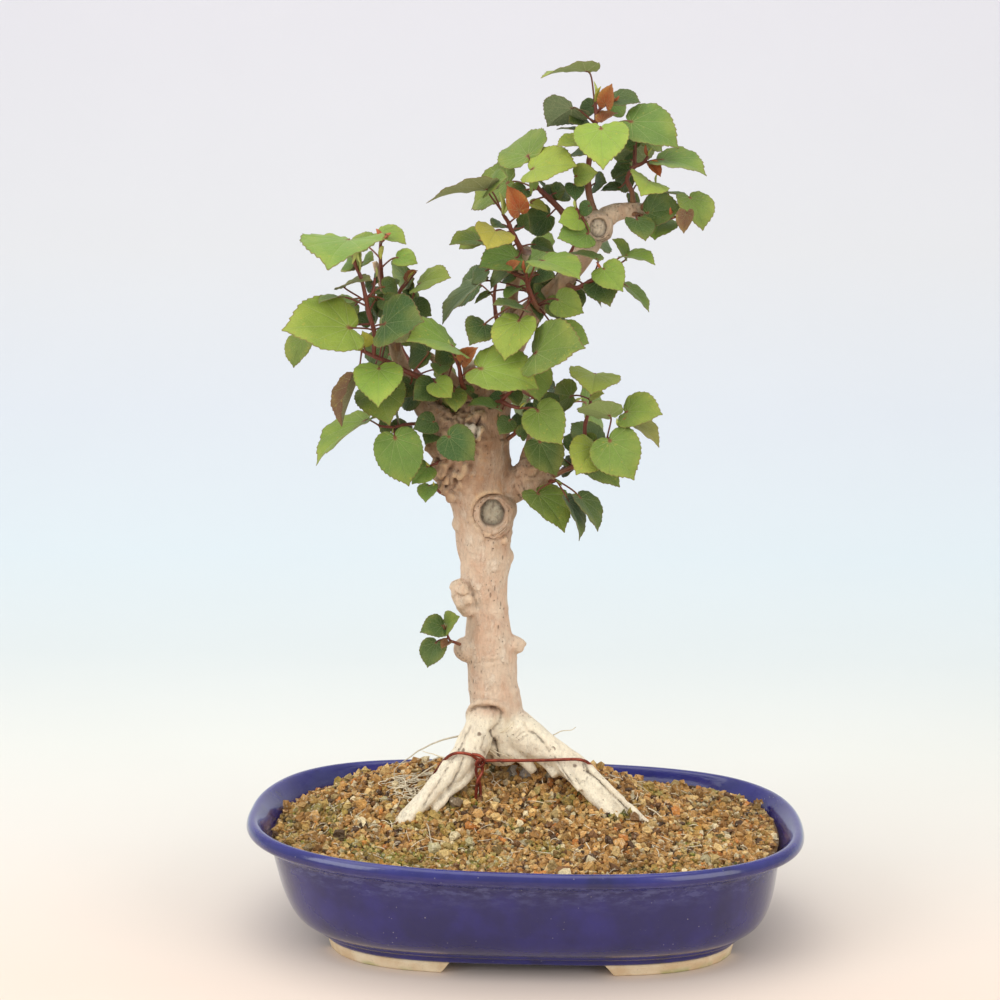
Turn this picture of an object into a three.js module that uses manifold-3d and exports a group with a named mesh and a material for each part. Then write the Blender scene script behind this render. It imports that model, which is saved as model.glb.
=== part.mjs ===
// Sea hibiscus bonsai in its oval glazed pot.
// Millimetres, +Z up. The pot's long side runs along X and the front of the tree faces -Y.
// The origin is on the standing plane, at the centre of the pot.

import * as THREE from "three";
import { mergeVertices } from "three/addons/utils/BufferGeometryUtils.js";
import Module from "manifold-3d";

const wasm = await Module();
wasm.setup();

// Pot
const POT_LENGTH = 340;
const POT_WIDTH = 234;
const POT_HEIGHT = 75;
const RIM_FALL = 6;
const RING_POINTS = 32;
const FLOOR_HEIGHT = 15;
const DRAIN_RADIUS = 9;
const DRAIN_OFFSET = 62;
const FOOT_HEIGHT = 7;
const FOOT_GAP_LENGTH = 92;
const FOOT_GAP_WIDTH = 70;
const FOOT_BAND = 17;
const FOOT_INSET = 47;
const BASE_INSET = 39.5;
const FOOT_SQUARENESS = 3.2;
const BASE_SHIFT = 4.5;
const BASE_SHIFT_TOP = 62;

// Drain meshes
const MESH_SIZE = 27;
const MESH_THICKNESS = 1.4;
const MESH_HOLE = 5.4;
const MESH_PITCH = 7.6;

// Soil
const SOIL_EDGE = 65;
const SOIL_MOUND = 29;
const SOIL_CREST = new THREE.Vector2(-15, 30);
const SOIL_SPREAD = new THREE.Vector2(110, 55);
const GRANULE_RELIEF = 1.3;

// Clearances between neighbouring pieces
const SEAT_GAP = 0.35;

// Tree
const TREE_SET_BACK = 20;
const WIRE_RADIUS = 0.95;
const BLADE_THICKNESS = 0.85;
const PETIOLE_HALF = 0.62;
const PETIOLE_BEND = 2.2;
const FOLDED_STALK = -0.1;
const LARGE_LEAF = 31.5;
const MIDDLE_LEAF = 22;
const SMALLEST_LEAF = 14;
const FOLD = 0.2;
const ARCH = 0.05;

// Rings of more points than this are closed with a middle point.
const WIDEST_PLAIN_CAP = 8;

// The front view that the tree was measured in: a picture of 1000 by 1000 grid steps, seen from
// one eye point. Points of the tree are written as steps across, steps down, and millimetres that
// they stand nearer to the eye than the trunk.
const EYE_DISTANCE = 1400;
const EYE_HEIGHT = 512;
const EYE_SIDE = -15.5;
const EYE_PITCH = THREE.MathUtils.degToRad(9.85);
const EYE_TURN = THREE.MathUtils.degToRad(3);
const GRID_FOCUS = 2378;
const GRID_CENTRE = 500;

const RIGHT = new THREE.Vector3(Math.cos(EYE_TURN), Math.sin(EYE_TURN), 0);
const AHEAD = new THREE.Vector3(-Math.sin(EYE_TURN), Math.cos(EYE_TURN), 0);
const UP = new THREE.Vector3(0, 0, 1);
const EYE = new THREE.Vector3()
  .addScaledVector(RIGHT, EYE_SIDE)
  .addScaledVector(AHEAD, -EYE_DISTANCE)
  .addScaledVector(UP, EYE_HEIGHT);

// The point of the real object that shows at a grid place, at a distance nearer than the trunk.
function seen(across, down, near) {
  const a = (across - GRID_CENTRE) / GRID_FOCUS;
  const b = (GRID_CENTRE - down) / GRID_FOCUS;
  const forward = Math.cos(EYE_PITCH) + b * Math.sin(EYE_PITCH);
  const rise = b * Math.cos(EYE_PITCH) - Math.sin(EYE_PITCH);
  const reach = (EYE_DISTANCE + TREE_SET_BACK - near) / forward;
  return EYE.clone()
    .addScaledVector(AHEAD, reach * forward)
    .addScaledVector(UP, reach * rise)
    .addScaledVector(RIGHT, reach * a);
}

// A repeatable number from 0 to 1 for any seed.
function chance(seed) {
  const value = Math.sin(seed * 12.9898) * 43758.5453;
  return value - Math.floor(value);
}

// Closed meshes as solids, and back

function toSolid(geometry) {
  const bare = geometry.clone();
  bare.deleteAttribute("normal");
  bare.deleteAttribute("uv");
  const merged = mergeVertices(bare, 1e-4);
  return new wasm.Manifold(
    new wasm.Mesh({
      numProp: 3,
      vertProperties: new Float32Array(merged.attributes.position.array),
      triVerts: new Uint32Array(merged.index.array),
    }),
  );
}

function toGeometry(solid) {
  const mesh = solid.getMesh();
  const geometry = new THREE.BufferGeometry();
  geometry.setAttribute("position", new THREE.BufferAttribute(new Float32Array(mesh.vertProperties), 3));
  geometry.setIndex(new THREE.BufferAttribute(new Uint32Array(mesh.triVerts), 1));
  geometry.computeVertexNormals();
  return geometry;
}

function join(solids) {
  return solids.reduce((whole, next) => whole.add(next));
}

function largestBody(solid) {
  return solid.decompose().reduce((best, next) => (next.volume() > best.volume() ? next : best));
}

// A closed solid from rings of equally many points, each ring turning the same way about the
// path. Each field between two rings is split along its shorter diagonal, so nested lofts match.
// Fans of triangles close both ends, from a middle point where the rings are wide.
function loft(rings) {
  const count = rings[0].length;
  const positions = [];
  const index = [];
  for (const ring of rings) {
    for (const point of ring) positions.push(point.x, point.y, point.z);
  }
  for (let r = 0; r + 1 < rings.length; r += 1) {
    for (let i = 0; i < count; i += 1) {
      const j = (i + 1) % count;
      const a = r * count + i;
      const b = r * count + j;
      const rising = rings[r][i].distanceTo(rings[r + 1][j]);
      const falling = rings[r][j].distanceTo(rings[r + 1][i]);
      if (rising <= falling) index.push(a, b, b + count, a, b + count, a + count);
      else index.push(a, b, a + count, b, b + count, a + count);
    }
  }
  for (const [ring, reversed] of [[0, true], [rings.length - 1, false]]) {
    const first = ring * count;
    let hub = first;
    if (count > WIDEST_PLAIN_CAP) {
      const middle = new THREE.Vector3();
      for (const point of rings[ring]) middle.addScaledVector(point, 1 / count);
      hub = positions.length / 3;
      positions.push(middle.x, middle.y, middle.z);
    }
    for (let i = 0; i < count; i += 1) {
      const a = first + i;
      const b = first + ((i + 1) % count);
      if (a === hub || b === hub) continue;
      if (reversed) index.push(hub, b, a);
      else index.push(hub, a, b);
    }
  }
  const geometry = new THREE.BufferGeometry();
  geometry.setAttribute("position", new THREE.BufferAttribute(new Float32Array(positions), 3));
  geometry.setIndex(index);
  return toSolid(geometry);
}

// A round limb through stations of { point, radius }, thickened by grow all round and at its ends.
// Each ring's first spoke is the one before it, turned no more than the limb bends.
function limb(stations, sides, grow = 0) {
  const points = stations.map((station) => station.point.clone());
  const last = points.length - 1;
  const lead = points[0].clone().sub(points[1]).setLength(grow);
  const tail = points[last].clone().sub(points[last - 1]).setLength(grow);
  points[0].add(lead);
  points[last].add(tail);
  const curve = new THREE.CatmullRomCurve3(points, false, "centripetal");
  const spoke = new THREE.Vector3(0.31, 0.17, 0.94);
  const rings = stations.map(({ radius }, number) => {
    const tangent = curve.getTangent(number / last);
    spoke.addScaledVector(tangent, -spoke.dot(tangent)).normalize();
    const second = tangent.clone().cross(spoke);
    return Array.from({ length: sides }, (_, side) => {
      const angle = (side / sides) * 2 * Math.PI;
      return points[number]
        .clone()
        .addScaledVector(spoke, (radius + grow) * Math.cos(angle))
        .addScaledVector(second, (radius + grow) * Math.sin(angle));
    });
  });
  return loft(rings);
}

// A limb whose stations are written as [steps across, steps down, near, radius].
function seenLimb(rows, sides, grow = 0) {
  const stations = rows.map(([across, down, near, radius]) => {
    return { point: seen(across, down, near), radius };
  });
  return limb(stations, sides, grow);
}

// Pot and soil

// One level of the pot: a rounded oval, set in from the rim's widest outline. The rim falls a
// little from the left end to the right, and the base stands a little off its middle, as on a pot
// shaped by hand.
function potRing(height, insetLength, insetWidth, power, scale = 1) {
  const halfLength = POT_LENGTH / 2 - insetLength;
  const halfWidth = POT_WIDTH / 2 - insetWidth;
  const shift = BASE_SHIFT * Math.max(0, 1 - height / BASE_SHIFT_TOP);
  const ring = [];
  for (let i = 0; i < RING_POINTS; i += 1) {
    const angle = ((i + 0.5) / RING_POINTS) * 2 * Math.PI;
    const c = Math.abs(Math.cos(angle)) / halfLength;
    const s = Math.abs(Math.sin(angle)) / halfWidth;
    const radius = scale * (c ** power + s ** power) ** (-1 / power);
    const x = radius * Math.cos(angle);
    const fall = 1 - (RIM_FALL * x) / (POT_LENGTH * POT_HEIGHT);
    ring.push(new THREE.Vector3(x + shift, radius * Math.sin(angle), height * fall));
  }
  return ring;
}

// Levels of the pot: height, inset along the length, inset along the width, squareness.
const POT_OUTSIDE = [
  [FOOT_HEIGHT, 45, 38, 3.2],
  [8.5, 43, 36, 3.2],
  [12, 42, 35, 3.2],
  [12.5, 38, 31, 3.1],
  [15.5, 37, 30, 3.1],
  [16.5, 33, 26, 3],
  [22, 26, 19, 2.9],
  [34, 20.5, 13, 2.8],
  [50, 17, 10, 2.7],
  [62, 15, 9, 2.6],
  [65, 6.5, 4, 2.5],
  [68.5, 0, 0, 2.5],
  [73, 1, 1, 2.5],
  [POT_HEIGHT, 4, 3.5, 2.5],
  [73.5, 7, 6.5, 2.5],
];
const POT_INSIDE = [
  [64, 15, 14, 2.6],
  [34, 27, 20, 2.8],
  [20, 34, 26, 2.9],
  [FLOOR_HEIGHT, 43, 36, 3.1],
];

// A slab along Y whose outline in X and Z is given, as a solid.
function slab(outline, yLow, yHigh) {
  const shape = new THREE.Shape(outline.map(([x, z]) => new THREE.Vector2(x, z)));
  const geometry = new THREE.ExtrudeGeometry(shape, { depth: yHigh - yLow, bevelEnabled: false });
  geometry.rotateX(Math.PI / 2);
  geometry.translate(0, yHigh, 0);
  return toSolid(geometry);
}

// The four feet: the band under the base's edge, parted at the middles of all four sides, with
// slanted ends along the length.
function feet() {
  const top = FOOT_HEIGHT + 1;
  const outline = [[0, FOOT_INSET, BASE_INSET], [top, FOOT_INSET - 1.5, BASE_INSET - 1]];
  const hollow = [-1, top + 1].map((height) => [height, FOOT_INSET + FOOT_BAND, BASE_INSET + FOOT_BAND]);
  const [outer, inner] = [outline, hollow].map((rows) =>
    loft(rows.map((row) => potRing(...row, FOOT_SQUARENESS))),
  );
  const band = outer.subtract(inner);
  const low = FOOT_GAP_LENGTH / 2 + 5;
  const high = FOOT_GAP_LENGTH / 2 - 1;
  const far = POT_LENGTH / 2;
  const near = FOOT_GAP_WIDTH / 2;
  const deep = POT_WIDTH / 2;
  const corners = [];
  for (const side of [-1, 1]) {
    const ends = [[low, -1], [far, -1], [far, top + 1], [high, top + 1]];
    const block = ends.map(([x, z]) => [side * x + BASE_SHIFT, z]);
    if (side < 0) block.reverse();
    corners.push(slab(block, near, deep), slab(block, -deep, -near));
  }
  return band.intersect(join(corners));
}

function drainHole(side) {
  const hole = new THREE.CylinderGeometry(DRAIN_RADIUS, DRAIN_RADIUS, 3 * FLOOR_HEIGHT, 14);
  hole.rotateX(Math.PI / 2);
  hole.translate(side * DRAIN_OFFSET, 0, FLOOR_HEIGHT / 2);
  return toSolid(hole);
}

function makePot() {
  const shell = loft([...POT_OUTSIDE, ...POT_INSIDE].map((level) => potRing(...level)));
  return shell.add(feet()).subtract(drainHole(-1)).subtract(drainHole(1));
}

// A square plastic mesh with nine square openings, flat on the pot's floor.
function makeDrainMesh(side) {
  const lift = FLOOR_HEIGHT + SEAT_GAP + 0.1 + MESH_THICKNESS / 2;
  const plate = new THREE.BoxGeometry(MESH_SIZE, MESH_SIZE, MESH_THICKNESS);
  plate.translate(side * DRAIN_OFFSET, 0, lift);
  const openings = [];
  for (const i of [-1, 0, 1]) {
    for (const j of [-1, 0, 1]) {
      const opening = new THREE.BoxGeometry(MESH_HOLE, MESH_HOLE, 2 * MESH_THICKNESS);
      opening.translate(side * DRAIN_OFFSET + i * MESH_PITCH, j * MESH_PITCH, lift);
      openings.push(toSolid(opening));
    }
  }
  return toSolid(plate).subtract(join(openings));
}

// The room that a drain mesh takes from the soil.
function makeMeshBed(side) {
  const bed = new THREE.BoxGeometry(MESH_SIZE + 1, MESH_SIZE + 1, 4);
  bed.translate(side * DRAIN_OFFSET, 0, FLOOR_HEIGHT);
  return toSolid(bed);
}

// Height of the soil: a broad mound under the tree that runs down to the pot's wall.
function soilHeight(x, y, edge) {
  const across = Math.exp(-(((x - SOIL_CREST.x) / SOIL_SPREAD.x) ** 4));
  const depth = Math.exp(-(((y - SOIL_CREST.y) / SOIL_SPREAD.y) ** 2));
  return SOIL_EDGE + SOIL_MOUND * across * depth * (1 - edge ** 8);
}

function makeSoil() {
  const [rimLevel, ...wallLevels] = POT_INSIDE;
  const rings = wallLevels.reverse().map(([height, insetLength, insetWidth, power]) => {
    const lift = height === FLOOR_HEIGHT ? SEAT_GAP : 0;
    return potRing(height + lift, insetLength + SEAT_GAP, insetWidth + SEAT_GAP, power);
  });
  const [, rimLength, rimWidth, power] = rimLevel;
  const [insetLength, insetWidth] = [rimLength + 2 * SEAT_GAP, rimWidth + 2 * SEAT_GAP];
  for (const edge of [1, 0.94, 0.84, 0.73, 0.62, 0.5, 0.38, 0.25, 0.12]) {
    const ring = potRing(SOIL_EDGE, insetLength, insetWidth, power, edge);
    ring.forEach((point, i) => {
      const relief = edge < 1 ? GRANULE_RELIEF * (2 * chance(i + 57 * rings.length) - 1) : 0;
      point.z = soilHeight(point.x, point.y, edge) + relief;
    });
    rings.push(ring);
  }
  return loft(rings);
}

// Trunk

// Limbs, stubs and roots of the trunk: sides, stations as [across, down, near, radius].
const TRUNK_LIMBS = [
  // trunk
  [12, [
    [508, 757, -2, 11], [503, 744, 0, 14], [499, 728, 0, 16], [496, 705, 0, 16.2],
    [493, 685, 0, 15.2], [492, 662, 0, 15.4], [489, 640, 0, 14.6], [487.5, 612, 0, 13.2],
    [485, 592, 0, 13.9], [484.5, 575, 0, 14.6],
    [485.5, 560, 0, 15.6], [483.5, 540, 0, 17], [483.5, 512, 0, 18.2], [480, 488, 0, 19.5],
    [475, 466, 0, 22], [476, 445, 0, 21], [482, 425, 0, 18], [490, 402, 0, 13.5], [496, 382, -1, 10],
  ]],
  // leader that turns up to the right
  [7, [
    [490, 405, 0, 12], [496, 382, -1, 10.5], [507, 352, -3, 9], [521, 324, -2, 8], [540, 304, 0, 7],
    [562, 284, 4, 6.2], [580, 260, 6, 6], [592, 238, 8, 7], [602, 220, 8, 6.6], [618, 212, 6, 5.2],
    [634, 210, 4, 4.6], [646, 208.5, 3, 3.8],
  ]],
  // second limb, behind and to the left of the leader
  [6, [
    [508, 350, -4, 6], [512, 325, -10, 5.4], [512, 292, -15, 4.4], [518, 268, -10, 3.6], [528, 247, -4, 3],
  ]],
  // woody limb of the left crown
  [6, [
    [470, 415, 0, 8], [452, 402, -2, 6.2], [430, 391, -5, 5.2], [408, 377, -8, 4.6], [396, 350, -8, 3.8],
    [390, 320, -6, 3.2], [385, 296, -5, 2.9], [379, 276, -4, 2.5], [375, 261, -3, 2],
  ]],
  // limb to the back
  [6, [
    [492, 402, -4, 9], [500, 375, -20, 6.5], [515, 350, -34, 5], [530, 325, -46, 4], [548, 300, -52, 3],
  ]],
  // stubby right branch
  [7, [[503, 489, 0, 12], [520, 482, 4, 10], [534, 478, 5, 8], [546, 477.5, 6, 5.6], [555, 476.5, 6, 3]]],
  // twig on the right branch
  [5, [[521, 474, 2, 2.8], [524, 456, 0, 2.4], [529, 441, -2, 2.1], [532, 430, -2, 1.8]]],
  // old broken stub, upper left
  [7, [[474, 476, 4, 16], [455, 448, 8, 13.5], [440, 425, 7, 10], [425, 409, 5, 6.5], [418, 403, 4, 5]]],
  // small broken twig end below it
  [6, [[446, 462, 10, 5], [434, 452, 12, 3.6], [425, 447, 12, 2.4]]],
  // cut stub with a white end
  [6, [[480, 412, 4, 7.5], [474, 391, 5, 4.4], [470, 374, 5, 3.9], [468, 360, 5, 4.2]]],
  // thin cut stub
  [6, [[470, 408, 2, 6], [452, 380, 3, 3.6], [437, 363, 3, 2.7], [423, 351, 3, 2.8]]],
  // sawn stub that faces the front
  [7, [[484, 444, 4, 9], [474, 434, 14, 7.5], [471, 431, 21, 6.2]]],
  // stub with a torn end, left
  [6, [[471, 610, 5, 7], [464, 599, 8, 6], [459, 588, 9, 5], [456, 581, 9, 3.6]]],
  // bump on the right
  [6, [[503, 651, 2, 9], [514, 645, 3, 6.5], [524, 648, 3, 2.8]]],
  // left root
  [7, [
    [490, 700, 0, 10], [485, 712, 4, 10.5], [478, 732, 8, 10.2], [471, 750, 12, 9.4], [444, 782, 22, 6.8],
    [420, 805, 30, 5.6], [408, 816, 36, 5], [392, 831, 40, 4],
  ]],
  // right root
  [7, [
    [508, 716, 2, 14], [530, 738, 5, 11], [553, 753, 10, 8.8], [573, 767, 15, 8.5], [592, 784, 20, 8],
    [615, 805, 25, 6.6], [636, 823, 28, 5], [651, 836, 30, 4],
  ]],
  // back roots
  [6, [[498, 728, -6, 11], [488, 752, -22, 7.5], [474, 778, -40, 5.5], [464, 802, -52, 4]]],
  [6, [[512, 728, -6, 10], [536, 752, -24, 7], [556, 776, -42, 5.5], [566, 800, -54, 4]]],
];

// Burrs and knots: [across, down, near, radius].
const TRUNK_KNOTS = [
  [504, 556, 2, 6.4],
  [462, 524, 6, 6],
  [466, 649, 4, 7.4],
  [450, 468, 10, 11],
  [528, 471, 8, 7],
];

// Round pruning scars: [across, down, near, radius].
const TRUNK_SCARS = [
  [492.6, 512, 14.5, 12.6],
  [598, 227.5, 13, 8.4],
];

// A healed pruning wound facing the front: a raised ring of bark round a sunken disc of wood.
function scar(across, down, near, radius, grow) {
  const outer = radius + grow;
  const profile = [
    [0, -7 - grow], [outer, -7 - grow], [outer, 1.5], [0.86 * outer, 3.6 + grow],
    [0.66 * outer, 3 + grow], [0.54 * outer, 0.6 + grow], [0, 1 + grow],
  ];
  const geometry = new THREE.LatheGeometry(profile.map(([r, h]) => new THREE.Vector2(r, h)), 10);
  const facing = AHEAD.clone().negate();
  const turn = new THREE.Quaternion().setFromUnitVectors(new THREE.Vector3(0, 1, 0), facing);
  geometry.applyQuaternion(turn);
  const place = seen(across, down, near);
  geometry.translate(place.x, place.y, place.z);
  return toSolid(geometry);
}

function knot(across, down, near, radius, grow) {
  const geometry = new THREE.SphereGeometry(radius + grow, 6, 3);
  const place = seen(across, down, near);
  geometry.translate(place.x, place.y, place.z);
  return toSolid(geometry);
}

function makeTrunk(grow = 0) {
  return join([
    ...TRUNK_LIMBS.map(([sides, stations]) => seenLimb(stations, sides, grow)),
    ...TRUNK_KNOTS.map((row) => knot(...row, grow)),
    ...TRUNK_SCARS.map((row) => scar(...row, grow)),
  ]);
}

// Wire: from the soil behind the left root, over its front, across to the right root and over
// that, down behind it, with two tails twisted below the left root.
const WIRE_RUN = [
  [438, 808, -8], [438, 790, -4], [438, 774, 3], [443, 764, 9], [449, 756, 16], [458, 753, 21.5],
  [470, 754.5, 24.5], [480, 760, 20.5], [500, 760.5, 20], [530, 760.5, 19.5], [551, 760, 21],
  [566, 759.5, 23.5], [578, 759.5, 24.2], [587, 762, 20.5], [594, 769, 11], [600, 779, 5],
  [603, 794, 2], [604, 812, 0],
];
const WIRE_TAILS = [
  [[481, 759, 20.5], [476, 770, 22], [481, 786, 21], [479, 812, 21]],
  [[480, 760, 20.5], [482.5, 771, 20], [477, 786, 23], [483, 812, 22]],
];

function makeWire(grow = 0) {
  const runs = [WIRE_RUN, ...WIRE_TAILS];
  return join(runs.map((rows) => seenLimb(rows.map((row) => [...row, WIRE_RADIUS]), 5, grow)));
}

// Leafy shoots.
// stems: the first grows from the wood, the others from it; stations as [across, down, near, radius].
// leaves: [across, down] of the blade's foot, [across, down] of its tip, length, near, turn, and
// [across, down] where its stalk leaves the stem. A length below zero leans the tip away from the
// front. Turn 0 shows the upper side to the front, 90 shows it to the sky, 180 shows the underside.
// hidden: how many more leaves stand behind the stem, placed by a rule.
const SHOOTS = [
  {
    name: "spray_left",
    stems: [
      [[464, 398, 2, 2.6], [445, 383, 11, 2.4], [430, 380, 14, 2.2], [410, 373, 18, 2], [395, 365, 20, 1.8],
        [382, 359, 22, 1.7], [372, 355, 22, 1.6], [362, 350, 22, 1.4], [356, 343, 22, 1.1]],
      [[374, 356, 22, 1.6], [374, 333, 24, 1.8], [368, 310, 26, 1.7], [366, 298, 27, 1.6],
        [361, 278, 28, 1.4], [356, 266, 29, 1.3], [352, 249, 30, 1.1]],
      [[366, 299, 27, 1.1], [373, 291, 26, 1.1], [375, 278, 24, 0.9]],
    ],
    leaves: [
      [379, 369, 378, 406, 29, 34, 5, 386, 361],
      [383, 345, 364, 358, -18, 8, 20, 382, 359],
      [357, 382, 344, 428, 29, 26, 70, 362, 350],
      [379, 389, 389, 424, 31, 24, 0, 388, 362],
      [387, 331, 410, 329, 20, 28, 150, 380, 358],
      [428, 352, 407, 360, -20, 2, 30, 412, 374],
      [433, 386, 413, 400, 19, 22, 10, 432, 380],
      [410, 384, 394, 397, 15, 12, 10, 412, 374],
      [416, 392, 398, 404, -17, 2, 20, 420, 377],
      [436, 383, 452, 398, 16, 26, 15, 441, 381],
      [440, 366, 438, 375, 12, 22, 0, 446, 382],
      [452, 352, 434, 361, -15, -10, 20, 447, 383],
      [385, 324, 424, 321, 32, 18, 30, 372, 326],
      [349, 240, 327, 266, 47, 30, 42, 352, 250],
      [354, 268, 340, 270, -10, 22, 60, 357, 269],
      [345, 286, 372, 280, 20, 24, 80, 364, 303],
      [338, 297, 318, 303, 16, 30, 75, 366, 307],
      [349, 328, 281, 329, 42, 36, 42, 371, 330],
      [303, 338, 293, 368, 20, 18, 40, 370, 325],
      [369, 323, 355, 313, -11, 14, 30, 371, 320],
      [372, 284, 366, 290, -8, 16, 30, 375, 280],
      [376, 302, 373, 325, -16, 10, 60, 368, 312],
      [364, 346, 363, 331, 11, 30, 30, 366, 352],
      [358, 266, 361, 250, 11, 26, 60, 357, 268],
    ],
    hidden: 0,
  },
  {
    name: "spray_left_back",
    stems: [[[387, 302, -5, 2.1], [383, 285, -2, 1.8], [381, 268, 1, 1.5], [380, 250, 3, 1.3],
      [381, 240, 3, 1.1]]],
    leaves: [
      [381, 233, 407, 243, 17, 3, 55, 381, 241],
      [382, 240, 389, 235, 8, 6, 30, 381, 243],
      [367, 246, 352, 237, -16, -6, 30, 380, 259],
      [398, 258, 418, 263, 13, 10, 35, 381, 268],
    ],
    hidden: 0,
  },
  {
    name: "spray_left_mid",
    stems: [
      [[398, 352, -6, 2.3], [398, 325, -2, 2], [396, 305, 0, 1.8], [400, 291, 1, 1.6], [407, 282, 2, 1.3],
        [416, 271, 3, 1.1]],
      [[398, 322, -2, 1.5], [406, 308, 2, 1.3], [411, 302, 4, 1.1]],
    ],
    leaves: [
      [420, 284, 451, 277, 23, 10, 60, 411, 302],
      [393, 284, 385, 280, -10, -10, 60, 397, 298],
      [412, 299, 406, 288, -10, -6, 30, 408, 306],
      [413, 306, 432, 316, 14, 4, 20, 411, 303],
      [407, 281, 418, 270, 10, 6, 60, 408, 281],
    ],
    hidden: 1,
  },
  {
    name: "spray_left_low",
    stems: [[[438, 424, 8, 1.8], [420, 424, 16, 1.4], [404, 425, 18, 1.2], [394, 427, 18, 1.1],
      [380, 426, 18, 0.9]]],
    leaves: [
      [395, 438, 409, 487, 31, 26, 0, 394, 428],
      [365, 421, 313, 463, 42, 12, 73, 380, 426],
      [390, 423, 379, 432, -10, 8, 20, 388, 427],
      [433, 422, 413, 429, 15, 22, 10, 426, 424],
      [434, 434, 425, 444, 12, 16, 20, 428, 424],
    ],
    hidden: 0,
  },
  {
    name: "spray_crevice",
    stems: [[[448, 458, 12, 1.3], [437, 463, 18, 1.1], [430, 466, 17, 0.9]]],
    leaves: [[427, 467, 412, 484, 17, 14, 5, 430, 466]],
    hidden: 0,
  },
  {
    name: "spray_side",
    stems: [[[449, 496, 8, 1.3], [440, 492, 13, 1.2], [434, 487, 15, 1]]],
    leaves: [[429, 486, 425, 502, 14, 15, 20, 437, 489]],
    hidden: 0,
  },
  {
    name: "spray_bark",
    stems: [[[442, 442, 8, 1.4], [443, 439, 22, 1.1], [447, 437, 29, 1]]],
    leaves: [[449, 437, 475, 461, 22, 31, 10, 446, 438]],
    hidden: 0,
  },
  {
    name: "spray_front",
    stems: [[[476, 404, 4, 2.3], [466, 391, 14, 2], [461, 380, 21, 1.8], [459, 368, 26, 1.5],
      [455, 358, 30, 1.3],
      [452, 350, 32, 1.1]]],
    leaves: [
      [452, 346, 407, 338, 36, 38, 60, 452, 351],
      [481, 369, 540, 387, 37, 42, 45, 462, 377],
      [463, 361, 478, 347, 13, 34, 20, 459, 368],
      [478, 371, 476, 385, -9, 14, 30, 462, 382],
      [458, 352, 466, 362, 10, 26, 30, 457, 362],
      [454, 392, 456, 412, 15, 26, 10, 466, 390],
      [470, 392, 453, 388, -11, 18, 65, 468, 394],
    ],
    hidden: 0,
  },
  {
    name: "spray_centre",
    stems: [
      [[487, 404, 6, 2.1], [500, 402, 19, 1.8], [510, 406, 25, 1.5], [520, 408, 29, 1.2]],
      [[500, 402, 19, 1.6], [511, 391, 24, 1.4], [522, 376, 30, 1.2], [530, 364, 35, 1]],
    ],
    leaves: [
      [536, 353, 585, 347, 39, 46, 36, 530, 364],
      [538, 411, 562, 445, 27, 38, 0, 520, 408],
      [541, 409, 560, 394, -15, 22, 20, 514, 407],
      [531, 366, 540, 402, 24, 26, 20, 524, 374],
      [513, 392, 519, 406, 10, 18, 20, 509, 393],
      [496, 408, 467, 404, 18, 24, 70, 496, 403],
    ],
    hidden: 0,
  },
  {
    name: "spray_twig",
    stems: [[[505, 441, 6, 1.8], [517, 432, 10, 1.5], [526, 426, 13, 1.2]]],
    leaves: [
      [518, 430, 517, 412, -12, 8, 30, 519, 431],
      [509, 421, 499, 435, 12, 26, 5, 516, 433],
      [540, 442, 557, 477, 25, 26, 5, 526, 426],
      [521, 436, 528, 424, 9, 18, 30, 523, 428],
    ],
    hidden: 0,
  },
  {
    name: "spray_right",
    stems: [
      [[548, 478, 5, 2.3], [562, 471, 13, 2], [574, 465, 18, 1.8], [584, 446, 23, 1.7], [585, 426, 26, 1.5],
        [589, 410, 28, 1.3], [591, 396, 28, 1.1]],
      [[584, 446, 23, 1.4], [596, 443, 32, 1.3], [607, 440, 38, 1.2], [614, 433, 40, 1],
        [620, 427, 40, 0.9]],
    ],
    leaves: [
      [595, 374, 591, 394, 31, 30, 0, 591, 396],
      [609, 415, 577, 407, 24, 40, 115, 607, 440],
      [627, 412, 663, 414, 25, 38, 35, 620, 427],
      [630, 421, 661, 446, 25, 34, 65, 620, 427],
      [610, 441, 634, 480, 30, 46, 0, 607, 440],
      [594, 444, 571, 422, -21, 14, 30, 590, 445],
      [595, 447, 576, 475, 27, 36, 5, 588, 445],
      [580, 446, 563, 436, -14, 2, 20, 582, 450],
      [591, 468, 621, 486, 22, 14, 45, 576, 462],
      [592, 395, 604, 393, 9, 34, 30, 591, 397],
    ],
    hidden: 1,
  },
  {
    name: "spray_right_low",
    stems: [[[546, 480, 6, 1.9], [552, 481, 13, 1.5], [556, 480, 17, 1.2]]],
    leaves: [
      [538, 494, 566, 531, 33, 10, 40, 554, 480],
      [568, 501, 582, 541, 26, 20, 72, 556, 480],
      [580, 498, 600, 531, 24, 25, 62, 556, 480],
    ],
    hidden: 0,
  },
  {
    name: "spray_middle",
    stems: [[[541, 311, 4, 2.5], [534, 302, 13, 2.2], [529, 291, 18, 2], [527, 280, 22, 1.5],
      [526, 273, 24, 1.2]]],
    leaves: [
      [519, 321, 504, 361, 28, 36, 30, 532, 299],
      [543, 261, 581, 279, 31, 38, 60, 528, 284],
      [537, 274, 546, 295, -17, 10, 5, 529, 286],
      [558, 300, 584, 313, 19, 26, 10, 536, 305],
      [549, 304, 565, 313, -12, 12, 20, 538, 307],
      [522, 309, 492, 304, 20, 4, 75, 530, 294],
      [508, 270, 489, 289, -16, 12, 60, 527, 284],
      [509, 269, 521, 261, 9, 26, 30, 527, 280],
      [478, 284, 441, 324, 34, 10, 75, 528, 290],
      [488, 294, 474, 304, 10, 8, 70, 529, 291],
      [486, 271, 471, 284, -13, 4, 50, 526, 276],
      [484, 325, 470, 344, 22, 22, 10, 531, 297],
      [562, 332, 590, 343, -18, 26, 40, 538, 308],
    ],
    hidden: 0,
  },
  {
    name: "spray_upper",
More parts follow.
